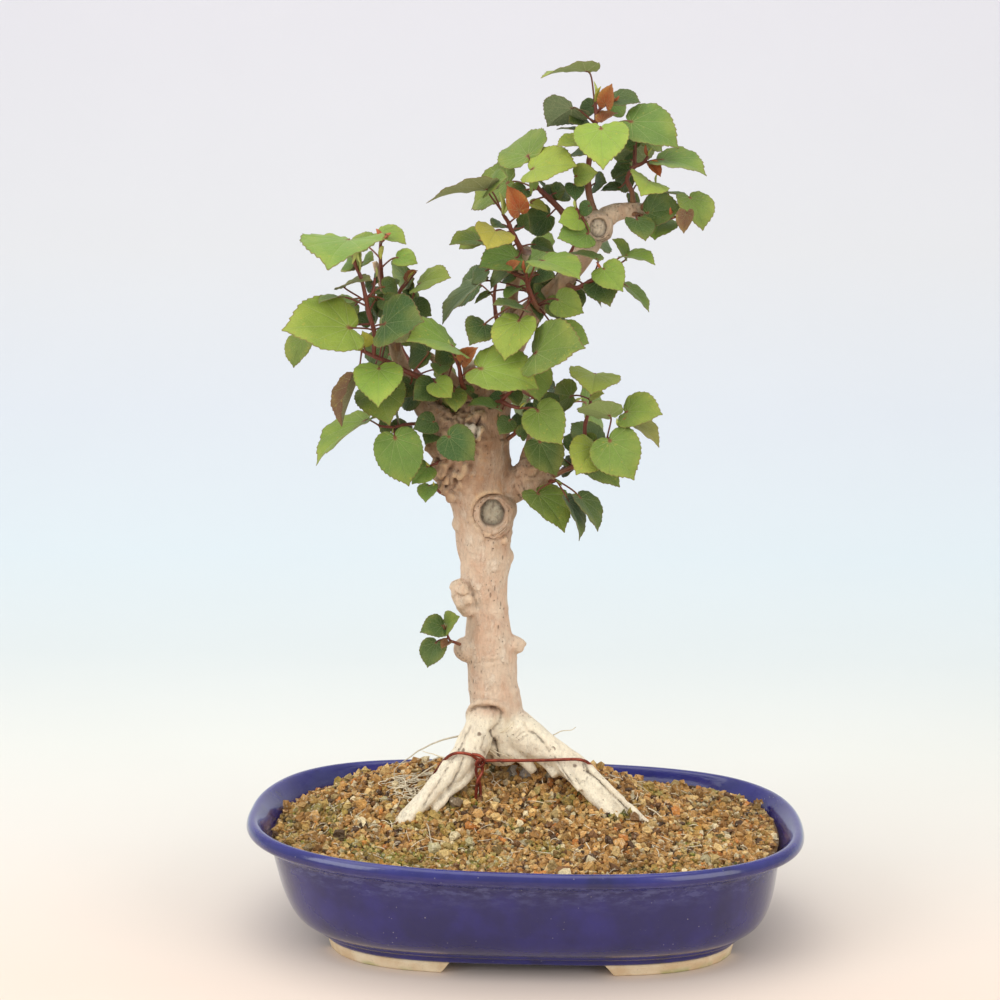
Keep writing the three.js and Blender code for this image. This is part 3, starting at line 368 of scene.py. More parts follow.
def put_values(mesh: bpy.types.Mesh, label: str, values: np.ndarray) -> None:
    """Gives each point of a mesh three numbers, kept as a colour attribute."""
    values = np.hstack([values, np.ones((len(values), 1))]).astype(np.float32)
    mesh.attributes.new(label, "FLOAT_COLOR", "POINT").data.foreach_set("color", values.ravel())


def read_values(items: Any, key: str, size: int, kind: type = np.float32) -> np.ndarray:
    """Reads `size` numbers of each point or edge of a mesh, one row each."""
    values = np.empty(len(items) * size, kind)
    items.foreach_get(key, values)
    return values.reshape(-1, size)


def applied(piece: bpy.types.Object) -> bpy.types.Mesh:
    """The mesh of an object with its modifiers applied."""
    graph = bpy.context.evaluated_depsgraph_get()
    return bpy.data.meshes.new_from_object(piece.evaluated_get(graph))


# Finishes

# Where the veins of a blade leave its foot, as angles from the midrib, and the side veins on them.
MAIN_VEINS = (0.0, 0.5, 1.02, 1.62, 2.3)
SIDE_VEIN_LEAN, SIDE_VEIN_STEP = 0.8, 0.125

# A blade's foot in its UV map, and the map's units for one blade length.
FOOT_U, FOOT_V, BLADE_UNIT = 0.5, 0.16, 0.8


def paint(code: int) -> Colour:
    """A colour from its six digit code, as linear light."""
    parts = [(code >> shift & 255) / 255 for shift in (16, 8, 0)]
    linear = [part / 12.92 if part <= 0.04045 else ((part + 0.055) / 1.055) ** 2.4 for part in parts]
    return (linear[0], linear[1], linear[2], 1.0)


def colours(*codes: int) -> np.ndarray:
    """Linear red, green and blue of six digit codes, one row each."""
    return np.array([paint(code)[:3] for code in codes])


def arithmetic(operation: str, swapped: bool = False) -> Callable[["Value", Any], "Value"]:
    """A method that puts a Math node on a Value and another term, the other one first if swapped."""
    def method(self: "Value", other: Any) -> "Value":
        """The node's result."""
        return self.math(operation, other, self) if swapped else self.math(operation, self, other)
    return method


class Value:
    """A number that varies over a surface. Python's arithmetic on it adds Math nodes."""

    def __init__(self, bench: "Bench", socket: bpy.types.NodeSocket) -> None:
        """Keeps the bench and the socket."""
        self.bench = bench
        self.socket = socket

    def math(self, operation: str, *terms: Any) -> "Value":
        """A Math node's result on the terms."""
        node = self.bench.node("ShaderNodeMath", {"operation": operation}, dict(enumerate(terms)))
        return Value(self.bench, node.outputs[0])

    __add__ = __radd__ = arithmetic("ADD")
    __sub__, __rsub__ = arithmetic("SUBTRACT"), arithmetic("SUBTRACT", True)
    __mul__ = __rmul__ = arithmetic("MULTIPLY")
    __truediv__, __rtruediv__ = arithmetic("DIVIDE"), arithmetic("DIVIDE", True)
    __pow__ = arithmetic("POWER")
    least = arithmetic("MINIMUM")

    def __abs__(self) -> "Value":
        """The value without its sign."""
        return self.math("ABSOLUTE", self)

    def ease(self, low: float, high: float) -> "Value":
        """A smooth step from 0 at low to 1 at high, low and high in either order."""
        node = self.bench.node("ShaderNodeMapRange", {"interpolation_type": "SMOOTHSTEP"},
                               {"Value": self, "From Min": low, "From Max": high})
        return Value(self.bench, node.outputs["Result"])


class Bench:
    """The nodes of one material while it is put together."""

    def __init__(self, name: str) -> None:
        """Makes the material with its shader, and the object coordinates in metres as spots.

        Args:
            name: Name of the material.
        """
        self.material = bpy.data.materials.new(name)
        self.material.use_nodes = True
        self.tree = self.material.node_tree
        self.shader = self.tree.nodes["Principled BSDF"]
        self.spots = self.node("ShaderNodeTexCoord").outputs["Object"]

    def node(self, kind: str, settings: dict[str, Any] | None = None,
             sockets: dict[str | int, Any] | None = None) -> bpy.types.Node:
        """Adds a node.

        Args:
            kind: Type of the node.
            settings: Its settings, set first; "stops" are a ramp's places and colours.
            sockets: Values or links of its input sockets.

        Returns:
            The node.
        """
        node = self.tree.nodes.new(kind)
        for key, value in (settings or {}).items():
            if key == "stops":
                elements = node.color_ramp.elements
                for number, (place, colour) in enumerate(value):
                    stop = elements[number] if number < len(elements) else elements.new(place)
                    stop.position, stop.color = place, colour
            else:
                setattr(node, key, value)
        for key, value in (sockets or {}).items():
            self.feed(node, key, value)
        return node

    def feed(self, node: bpy.types.Node, key: str | int, value: Any) -> None:
        """Links a value to an input socket, or sets it there."""
        value = value.socket if isinstance(value, Value) else value
        if isinstance(value, bpy.types.NodeSocket):
            self.tree.links.new(value, node.inputs[key])
        else:
            node.inputs[key].default_value = value

    def surface(self, **sockets: Any) -> None:
        """Sets or links sockets of the shader, named with underscores for spaces."""
        for key, value in sockets.items():
            self.feed(self.shader, key.replace("_", " "), value)

    def parts(self, vector: bpy.types.NodeSocket) -> tuple[Value, Value, Value]:
        """The three parts of a vector."""
        node = self.node("ShaderNodeSeparateXYZ", None, {0: vector})
        return tuple(Value(self, output) for output in node.outputs)

    def attribute(self, name: str) -> bpy.types.NodeSocket:
        """The colour of a point attribute."""
        return self.node("ShaderNodeAttribute", {"attribute_name": name}).outputs["Color"]

    def upright(self, rise: float) -> bpy.types.NodeSocket:
        """The spots with their heights multiplied: below 1, patterns are drawn out upwards."""
        node = self.node("ShaderNodeVectorMath", {"operation": "MULTIPLY"}, {0: self.spots, 1: (1, 1, rise)})
        return node.outputs[0]

    def noise(self, scale: float, detail: float = 3.0, rough: float = 0.55,
              spots: bpy.types.NodeSocket | None = None) -> Value:
        """Cloudy noise around 0.5 at the spots, with a cell about 1 / scale metres wide."""
        node = self.node("ShaderNodeTexNoise", None,
                         {"Vector": spots or self.spots, "Scale": scale, "Detail": detail, "Roughness": rough})
        return Value(self, node.outputs[0])

    def cells(self, scale: float, feature: str = "F1", spots: bpy.types.NodeSocket | None = None) -> Value:
        """Distance pattern of cells scattered over the spots."""
        node = self.node("ShaderNodeTexVoronoi", {"feature": feature}, {"Vector": spots or self.spots, "Scale": scale})
        return Value(self, node.outputs["Distance"])

    def mix(self, share: Any, a: Any, b: Any) -> bpy.types.NodeSocket:
        """Colour a with a share of colour b over it."""
        node = self.node("ShaderNodeMix", {"data_type": "RGBA", "clamp_factor": True}, {0: share, 6: a, 7: b})
        return node.outputs[2]

    def coat(self, body: Any, *layers: tuple[Any, Any]) -> bpy.types.NodeSocket:
        """A colour with layers over it, each a share, which is clamped from 0 to 1, and a colour."""
        for share, colour in layers:
            body = self.mix(share, body, colour)
        return body

    def shade(self, colour: Any, strength: Value) -> bpy.types.NodeSocket:
        """A colour multiplied by a number."""
        node = self.node("ShaderNodeVectorMath", {"operation": "SCALE"}, {0: colour, "Scale": strength})
        return node.outputs[0]

    def bump(self, height: Value, depth: float) -> None:
        """Bumps the surface by a height from 0 to 1, at most depth metres deep."""
        node = self.node("ShaderNodeBump", None, {"Height": height, "Distance": depth})
        self.surface(Normal=node.outputs["Normal"])


@dataclass(frozen=True)
class Finish:
    """A material that is made once and then shared."""

    name: str

    def material(self) -> bpy.types.Material:
        """The material, made at its first use."""
        kept = bpy.data.materials.get(self.name)
        if kept is None:
            bench = Bench(self.name)
            self.dress(bench)
            kept = bench.material
        return kept

    def dress(self, bench: Bench) -> None:
        """Puts the nodes together."""
        raise NotImplementedError


@dataclass(frozen=True)
class GlazeFinish(Finish):
    """Deep cobalt glaze: glossy, thin and greyish over edges, with a painted highlight on the lip, pale specks and a
    water line.
    """

    name: str = "cobalt_glaze"
    deep: Colour = paint(0x100D50)
    light: Colour = paint(0x1D1968)
    thin_glaze_and_highlight: Colour = paint(0x3C3E8C)
    line: Colour = paint(0x7E82B0)
    dark_streak: Colour = paint(0x0B0B30)
    speck: Colour = paint(0xC8C4BC)

    def dress(self, bench: Bench) -> None:
        """Cloudy blue, thinned and lightened as a painted highlight by the edge trait x, stained by the water trait y,
        with specks.
        """
        edge, water, _ = bench.parts(bench.attribute("trait"))
        clouds = bench.noise(38, 4)
        streaks = bench.noise(160, 3, spots=bench.upright(0.25))
        stain = water * bench.noise(90, 5, 0.7, spots=bench.upright(3)).ease(0.42, 0.66)
        # darker vertical streaks on the glaze
        dark_streak = bench.noise(46, 2, spots=bench.upright(0.12)).ease(0.56, 0.7)
        dust = bench.cells(240).ease(0.1, 0.05) * bench.noise(50).ease(0.5, 0.62)
        fine = bench.cells(620).ease(0.1, 0.04) * bench.noise(90).ease(0.52, 0.7)
        body = bench.coat(
            # over edges: partly thinner glaze, and on the lip partly a painted highlight
            self.deep, (clouds.ease(0.35, 0.75), self.light), (edge * (0.24 + 0.8 * streaks), self.thin_glaze_and_highlight),
            (stain * 0.4, self.line), (dark_streak * 0.4, self.dark_streak), (dust * 0.45 + fine * 0.3, self.speck))
        bench.surface(Base_Color=body, Roughness=0.12 + 0.14 * clouds + 0.25 * stain + 0.3 * dust,
                      Coat_Weight=0.48 - 0.35 * stain, Coat_Roughness=0.06, IOR=1.45)
        bench.bump(0.7 * bench.noise(34, 2) + 0.3 * bench.noise(380, 2), 0.0004)


@dataclass(frozen=True)
class ClayFinish(Finish):
    """Unglazed buff clay of the feet, with a faint green stain low down."""

    name: str = "buff_clay"
    clay: Colour = paint(0xD9BC93)
    pale: Colour = paint(0xEBD9B8)
    moss: Colour = paint(0x9AA45A)
    grit: Colour = paint(0x8A6A48)

    def dress(self, bench: Bench) -> None:
        """Grainy clay, stained green near the ground."""
        _, _, z = bench.parts(bench.spots)
        clouds = bench.noise(90, 5)
        damp = z.ease(0.0045, 0.0) * bench.noise(60, 3).ease(0.42, 0.62)
        grit = bench.noise(1100, 2)
        body = bench.coat(self.clay, (clouds.ease(0.3, 0.7), self.pale), (damp * 0.65, self.moss),
                          (grit.ease(0.64, 0.72) * 0.4, self.grit))
        bench.surface(Base_Color=body, Roughness=0.8 + 0.15 * clouds)
        bench.bump(grit, 0.0003)


@dataclass(frozen=True)
class PlasticFinish(Finish):
    """Dark moulded plastic of the drain meshes, dusty with soil."""

    name: str = "drain_mesh_plastic"

    def dress(self, bench: Bench) -> None:
        """Nearly black plastic with brown dust."""
        dust = bench.noise(240, 5)
        body = bench.mix(dust.ease(0.45, 0.7) * 0.7, paint(0x23282A), paint(0x7B6240))
        bench.surface(Base_Color=body, Roughness=0.45 + 0.4 * dust)
        bench.bump(bench.noise(1500, 2), 0.0001)


@dataclass(frozen=True)
class GranuleFinish(Finish):
    """Fired clay granules, each in the tint it was given, pitted and dusty."""

    name: str = "soil_granules"

    def dress(self, bench: Bench) -> None:
        """The tint, mottled by fine noise, with dark pits and a pale dust on it."""
        tint = bench.attribute("tint")
        mottle = bench.noise(620, 4, 0.7)
        pits = bench.cells(1300)
        body = bench.coat(
            bench.shade(tint, 0.2 + 1.55 * mottle), (pits.ease(0.3, 0.1) * 0.5, paint(0x4A3220)),
            (bench.noise(410, 3).ease(0.56, 0.7) * 0.45, paint(0xEADFC4)))
        bench.surface(Base_Color=body, Roughness=0.82 + 0.15 * mottle)
        bench.bump(0.6 * mottle + 0.4 * pits, 0.0012)


@dataclass(frozen=True)
class FibreFinish(Finish):
    """Thin living or dry strands, each in its tint: rootlets, moss, shoots and stalks."""

    name: str
    rough: float = 0.6
    grain: float = 700.0
    depth: float = 0.0002

    def dress(self, bench: Bench) -> None:
        """The tint, lighter and darker along the strand, with fine pale dots."""
        tint = bench.attribute("tint")
        mottle = bench.noise(self.grain, 3)
        body = bench.shade(tint, 0.6 + 0.8 * mottle)
        dots = bench.cells(1.6 * self.grain).ease(0.2, 0.1) * bench.noise(150).ease(0.45, 0.6)
        body = bench.mix(dots * 0.3, body, paint(0xB89878))
        bench.surface(Base_Color=body, Roughness=self.rough + 0.25 * (mottle - 0.5))
        bench.bump(mottle, self.depth)


@dataclass(frozen=True)
class WireFinish(Finish):
    """Copper coloured wire, a little dull, with soil rubbed on it."""

    name: str = "copper_wire"

    def dress(self, bench: Bench) -> None:
        """Red copper with brown patina clouds."""
        patina = bench.noise(130, 5, 0.65)
        dust = bench.noise(420, 3).ease(0.58, 0.72)
        body = bench.coat(paint(0xA8523F), (patina.ease(0.35, 0.7), paint(0x5E2A26)), (dust * 0.45, paint(0xA88C68)))
        bench.surface(Base_Color=body, Metallic=0.8 - 0.6 * dust, Roughness=0.3 + 0.35 * patina + 0.2 * dust)
        bench.bump(patina, 0.0002)


@dataclass(frozen=True)
class BarkFinish(Finish):
    """Smooth pale bark: cream on the roots, pinkish beige on the trunk, browner in the crown, where it is also
    darkened as painted shade under the leaves.

    The trait holds the depth of hollows (x), painted as shade, the share of bare grey wood (y) and of fresh cuts (z).
    The tint holds the nearness to a crack (x) and that crack's weight (y), both painted as shade, and how far out a
    ridge is (z), painted as a highlight.
    """

    name: str = "pale_bark"
    root: Colour = paint(0xF3E7CC)
    trunk: Colour = paint(0xDAC2A8)
    blush: Colour = paint(0xC9A083)
    crown_brown_and_shade: Colour = paint(0x8E6848)
    rust: Colour = paint(0xB07C48)
    pale: Colour = paint(0xF4E9D4)
    mark: Colour = paint(0x553620)
    ridge_highlight: Colour = paint(0xE6C79C)
    speck: Colour = paint(0x7E5638)
    wood: Colour = paint(0xAAA28C)
    weathered: Colour = paint(0x6A6352)
    fresh: Colour = paint(0xEDE2CC)
    crevice_shade: Colour = paint(0x8A6038)
    dark: Colour = paint(0x3A2417)

    def dress(self, bench: Bench) -> None:
        """Colour by height and noise, with dashes and dots, painted shade in hollows and cracks, and painted
        highlights on ridges.
        """
        _, _, z = bench.parts(bench.spots)
        hollow_shade, wood, fresh = bench.parts(bench.attribute("trait"))
        crack, weight, ridge_highlight = bench.parts(bench.attribute("tint"))
        clouds = bench.noise(42, 4, 0.6)
        patches = bench.noise(95, 5, 0.65, spots=bench.upright(0.5))
        speckle = bench.noise(900, 3, 0.7)
        low = (z + 0.012 * (clouds - 0.5)).ease(0.13, 0.139)
        high = (z + 0.05 * (clouds - 0.5)).ease(0.215, 0.305) * (z.ease(0.42, 0.39) * 0.88 + 0.12)
        rust = bench.noise(130, 4, 0.6).ease(0.56, 0.72)
        upright = bench.upright(0.45)
        pale = bench.noise(190, 5, 0.65, upright).ease(0.5, 0.68)
        dashes = bench.cells(300, spots=bench.upright(0.35)).ease(0.2, 0.1) * bench.noise(60).ease(0.46, 0.6)
        dots = (bench.cells(340) + 0.16 * speckle).ease(0.28, 0.13) * bench.noise(60).ease(0.4, 0.66)
        pits = (bench.cells(105) + 0.1 * speckle).ease(0.27, 0.2) * bench.noise(48).ease(0.5, 0.56)
        marks = (dashes * 0.7 + dots).least(1)
        shadow = (hollow_shade * (0.5 + 0.9 * clouds)).least(1)
        broken = crack + 0.5 * (bench.noise(420, 4, 0.7) - 0.5)
        # painted shade: a dark line in the cracks, broken by noise
        split_shade = broken.ease(0.68, 0.9) * bench.noise(140, 3).ease(0.36, 0.56) * weight
        body = bench.coat(
            self.root,
            (low, self.trunk),
            (patches.ease(0.42, 0.68) * (0.16 + 0.5 * low), self.blush),
            # browner bark in the crown, darkened further as painted shade under the leaves
            (high * (0.3 + 0.9 * patches), self.crown_brown_and_shade),
            (rust * (0.1 + 0.45 * high), self.rust),
            (pale * (0.34 - 0.16 * high), self.pale),
            (marks * 0.72 + pits * (1 - low) * 0.75, self.mark),
            # painted highlight: a pale tone on the parts of the bark that stand out
            (ridge_highlight * (0.25 + 0.35 * high) * clouds.ease(0.3, 0.6), self.ridge_highlight),
            (speckle.ease(0.58, 0.72) * (0.22 + 0.3 * high), self.speck),
            (wood * (0.45 + 0.9 * bench.noise(340, 4)), self.wood),
            (wood * bench.noise(430, 4, 0.7).ease(0.52, 0.7) * 0.6, self.weathered),
            (fresh * 0.85, self.fresh),
            (shadow * 0.8, self.dark),
            # painted shade: a soft darkening beside the cracks and a dark line in them
            (0.3 * crack.ease(0.2, 0.9) * weight, self.crevice_shade),
            (split_shade * 0.9, self.dark),
        )
        fine = bench.noise(560, 4, 0.65, upright)
        bench.surface(Base_Color=bench.shade(body, 0.74 + 0.52 * fine), Roughness=0.78 + 0.2 * fine - 0.1 * pale)
        relief = 0.5 * fine + 0.35 * patches - 0.5 * marks + 0.3 * pale + 0.25 * speckle - 0.6 * split_shade
        bench.bump(relief, 0.0019)


@dataclass(frozen=True)
class LeafFinish(Finish):
    """A hibiscus leaf in its tint: pale veins that fan out from the stalk, thin reddish margin.

    The UV map holds the place on the blade. The trait holds the underside (x), the flecks (y) and
    the share of the way to the margin (z).
    """

    name: str = "hibiscus_leaf"
    vein: Colour = paint(0xC2CB84)
    margin: Colour = paint(0x7A5232)
    fleck: Colour = paint(0xB9A745)
    hole: Colour = paint(0x7A4A26)
    under: Colour = paint(0x93A07A)
    under_vein: Colour = paint(0xC4C99A)
    stalk_red: Colour = paint(0x8A3A2C)

    def dress(self, bench: Bench) -> None:
        """Veins are drawn in polar coordinates about the blade's foot.

        Main veins leave the foot at fixed angles a; their distance is r sin|angle - a|. Side veins
        are the lines on which r cos|angle - a| less their lean times r sin|angle - a| is a whole
        number of steps.
        """
        tint = bench.attribute("tint")
        under, flecks, rim = bench.parts(bench.attribute("trait"))
        u, v, _ = bench.parts(bench.node("ShaderNodeUVMap", {"uv_map": "place"}).outputs[0])
        w = (u - FOOT_U) / BLADE_UNIT
        s = (v - FOOT_V) / BLADE_UNIT
        radius = (w * w + s * s) ** 0.5
        angle = abs(w.math("ARCTAN2", w, s))
        off = angle
        for vein in MAIN_VEINS[1:]:
            off = off.least(abs(angle - vein))
        beside = radius * off.math("SINE", off)
        ahead = radius * off.math("COSINE", off)
        main = (beside - 0.006 * (1.1 - radius)).ease(0.004, -0.003)
        step = (ahead - SIDE_VEIN_LEAN * beside) / SIDE_VEIN_STEP
        wave = abs(step.math("FRACT", step) - 0.5)
        side = wave.ease(0.44, 0.49) * radius.ease(0.1, 0.2)
        veins = (main + 0.4 * side).least(1)
        net = bench.cells(620, "DISTANCE_TO_EDGE").ease(0.09, 0.02)
        broad = bench.noise(70, 3)
        fine = bench.noise(900, 3)
        spotted = bench.cells(300).ease(0.26, 0.14) * bench.noise(90).ease(0.48, 0.6) * flecks
        holes = bench.cells(520).ease(0.16, 0.08) * bench.noise(130).ease(0.56, 0.66)
        top = bench.coat(
            bench.shade(tint, 0.62 + 0.55 * broad + 0.2 * fine),
            (rim.ease(0.45, 0.98) * broad.ease(0.35, 0.7) * 0.22, self.fleck),
            (0.3 * veins + 0.06 * net, self.vein),
            (spotted * 0.8, self.fleck),
            (holes * 0.7, self.hole),
        )
        below = bench.coat(tint, (0.45, self.under), (0.5 * veins + 0.2 * net, self.under_vein))
        body = bench.coat(top, (under, below), (radius.ease(0.07, 0.015) * 0.8, self.stalk_red),
                          (rim.ease(0.965, 0.995) * 0.6, self.margin))
        bench.surface(Base_Color=body, Roughness=0.5 + 0.16 * fine + 0.16 * under, Specular_IOR_Level=0.36,
                      Sheen_Weight=0.08, Sheen_Roughness=0.4)
        relief = (under * 2 - 1) * (0.35 * main + 0.2 * side) + 0.25 * fine + 0.2 * (1 - net)
        bench.bump(relief, 0.0005)


@dataclass(frozen=True)
class StageFinish(Finish):
    """Plain pale paper with painted light: cream on the ground, cooler and greyer upwards."""

    name: str = "pale_sweep"
    # painted light: the paper's tone falls off and cools towards the back and top
    stops: tuple[tuple[float, Colour], ...] = (
        (0.03, paint(0xEAD8C8)), (0.11, paint(0xE8E2D8)), (0.176, paint(0xE6E6DE)), (0.27, paint(0xDDE3E1)),
        (0.37, paint(0xD8E2E5)), (0.5, paint(0xD8DDE2)), (0.64, paint(0xDCDCDD)), (0.86, paint(0xDDDADE)),
    )

    def dress(self, bench: Bench) -> None:
        """A soft gradient of painted light away from the front and up, with a trace of paper grain."""
        _, y, z = bench.parts(bench.spots)
        far = (y + z + 0.2) / 3.4
        ramp = bench.node("ShaderNodeValToRGB", {"stops": self.stops}, {0: far})
        body = bench.shade(ramp.outputs[0], 0.99 + 0.02 * bench.noise(6, 2))
        bench.surface(Base_Color=body, Roughness=0.9)


# Pot and soil

@dataclass
class Pot:
    """Oval pot with a rolled lip, a stepped base, four feet and two drain holes.

    The levels give height, inset along the length, inset along the width, squareness, thinness of
    the glaze over an edge with a painted highlight on it, and water marks. A foot starts at
    foot_start along the pot, or foot_flare less at its top, and ends at foot_end across it.
    """

    length: float = 339.0
    width: float = 233.4
    height: float = 75.0
    fall: float = 6.0
    foot_height: float = 7.0
    drain_radius: float = 9.0
    drain_offset: float = 62.0
    around: int = 208
    foot_power: float = 3.2
    foot_more: float = 7.5
    foot_start: float = 51.0
    foot_flare: float = 6.0
    foot_end: float = 35.0
    back_more: float = 0.5
    base_shift: float = 4.5
    shift_top: float = 62.0
    outside: Rows = (
        (7, 45, 38, 3.2, 0.5, 0), (8.5, 43, 36, 3.2, 0.5, 0), (12, 42, 35, 3.2, 0, 0), (12.5, 38, 31, 3.1, 0, 0),
        (15.5, 37, 30, 3.1, 0.6, 0), (16.5, 33, 26, 3, 0.1, 0), (22, 26, 19, 2.9, 0, 0), (34, 20.5, 13, 2.8, 0, 0),
        (50, 17, 10, 2.7, 0, 0), (58, 15.6, 9.3, 2.65, 0, 0.5), (62.5, 15, 9, 2.6, 0, 0.9), (64.6, 9, 6, 2.6, 0.3, 1),
        (66, 3, 2, 2.5, 0.4, 0.8), (68.5, 0, 0, 2.5, 0.1, 0), (73, 1, 1, 2.5, 0.4, 0), (75, 3.6, 3.2, 2.5, 1, 0),
        (73.8, 7, 6.5, 2.5, 0.5, 0),
    )
    inside: Rows = (
        (64, 15, 14, 2.6, 0.3, 0.3), (34, 27, 20, 2.8, 0, 0), (20, 34, 26, 2.9, 0, 0), (15, 43, 36, 3.1, 0, 0),
    )
    holes: tuple[float, ...] = (-1, 1)

    def oval(self, height: Any, inset_length: Any, inset_width: Any, power: Any, scale: Any, angle: Any) -> np.ndarray:
        """Points of rounded ovals.

        Args:
            height: Height of the level at the middle.
            inset_length: Inset from half the length.
            inset_width: Inset from half the width.
            power: Squareness, to which back_more is added at the back.
            scale: Share of the way out from the middle.
            angle: Direction from the middle.

        Returns:
            Points in millimetres, with the coordinates last.
        """
        power = power + self.back_more * ease(0, 0.7, np.sin(angle))
        radius = scale * oval_reach(angle, self.length / 2 - inset_length, self.width / 2 - inset_width, power)
        x = radius * np.cos(angle)
        shift = self.base_shift * np.maximum(0, 1 - np.asarray(height, float) / self.shift_top) + 0 * x
        return np.stack([x + shift, radius * np.sin(angle), self.sloped(height, x)], -1)

    def sloped(self, height: Any, x: Any) -> np.ndarray:
        """Heights at places along the pot, whose top falls a little from left to right."""
        return height * (1 - self.fall * x / (self.length * self.height))

    def angles(self, count: int) -> np.ndarray:
        """Directions round the oval, closer together at its ends' corners."""
        turn = (np.arange(count) + 0.5) / count * TURN
        return turn - 0.12 * np.sin(4 * turn)

    def body(self) -> Form:
        """Shell from the middle of the underside out, up the wall, over the lip and down to the floor."""
        wall = [(*row[:4], 1.0, *row[4:]) for row in (*self.outside, *self.inside)]
        under = [(*wall[0][:4], share, 0.2, 0.0) for share in (0.04, 0.3, 0.6, 0.85, 0.97)]
        floor = [(*wall[-1][:4], share, 0.0, 0.0) for share in (0.97, 0.85, 0.6, 0.3, 0.04)]
        levels = cut_corners([*under, *wall, *floor], 2)
        height, inset_length, inset_width, power, scale, edge, water = levels.T[:, :, None]
        angle = self.angles(self.around)[None]
        rings = self.oval(height, inset_length, inset_width, power, scale, angle)
        outwards = np.stack([np.cos(angle), np.sin(angle), 0 * angle], -1)
        rings = rings + 0.16 * grain(rings, 26, 3)[..., None] * outwards * (scale[..., None] > 0.9)
        traits = np.stack(np.broadcast_arrays(edge, water, 0 * angle), -1)
        form = Form()
        form.add_rings(rings, trait=traits)
        return form

    def drained(self, mesh: bpy.types.Mesh) -> bpy.types.Mesh:
        """The mesh with its two drain holes cut through the floor."""
        shell = linked("shell", mesh)
        cutter = Form()
        for side in self.holes:
            path = np.array([[side * self.drain_offset, 0, z] for z in (-5, 0, 8, 16, 25)], float)
            cutter.add_rings(carried(path, self.drain_radius, 40))
        drill = linked("drill", cutter.mesh("drill"))
        cut = shell.modifiers.new("drain", "BOOLEAN")
        cut.operation, cut.solver, cut.object = "DIFFERENCE", "EXACT", drill
        drained = applied(shell)
        for piece in (shell, drill):
            bpy.data.objects.remove(piece)
        return drained

    def feet(self) -> Form:
        """Four feet: a rounded rectangle of clay carried along a quarter of the base's edge."""
        form = Form()
        top = self.foot_height + 0.8
        power = self.foot_power
        section = cut_corners([(0.3, 38.6), (0, 39.5), (0, 53), (0.5, 54), (4, 54), (top, 54), (top, 45), (top, 37),
                               (4, 37.6), (0.3, 38.6)], 1)[:-1]
        height, inset = section.T[:, None, :]
        start_x = self.foot_start - self.foot_flare * height / top
        share = ease(0, 1, np.linspace(0, 1, 26))[:, None]
        radius_x, radius_y = self.length / 2 - inset - self.foot_more, self.width / 2 - inset - 1
        start = np.arctan2(radius_y * (1 - (start_x / radius_x) ** power) ** (1 / power), start_x)
        end = np.arctan2(self.foot_end, radius_x * (1 - (self.foot_end / radius_y) ** power) ** (1 / power))
        angle = start + share * (end - start)
        for flip_x in (-1, 1):
            for flip_y in (-1, 1):
                reach = oval_reach(angle, radius_x, radius_y, power)
                x = flip_x * reach * np.cos(angle)
                ring = np.stack([x + self.base_shift, flip_y * reach * np.sin(angle), self.sloped(height, x)], -1)
                ring = ring + 0.25 * grain(ring, 6, 5)[..., None] * (1, 1, 0)
                form.add_rings(ring, flip=flip_x * flip_y < 0)
        return form

    def build(self) -> None:
        """Makes the glazed body and the clay feet in place of the CAD pot."""
        settle("pot_body", self.drained(self.body().mesh("pot_body")), GlazeFinish(), ["pot"])
        self.feet().piece("pot_feet", ClayFinish(), "glaze", ["pot"])


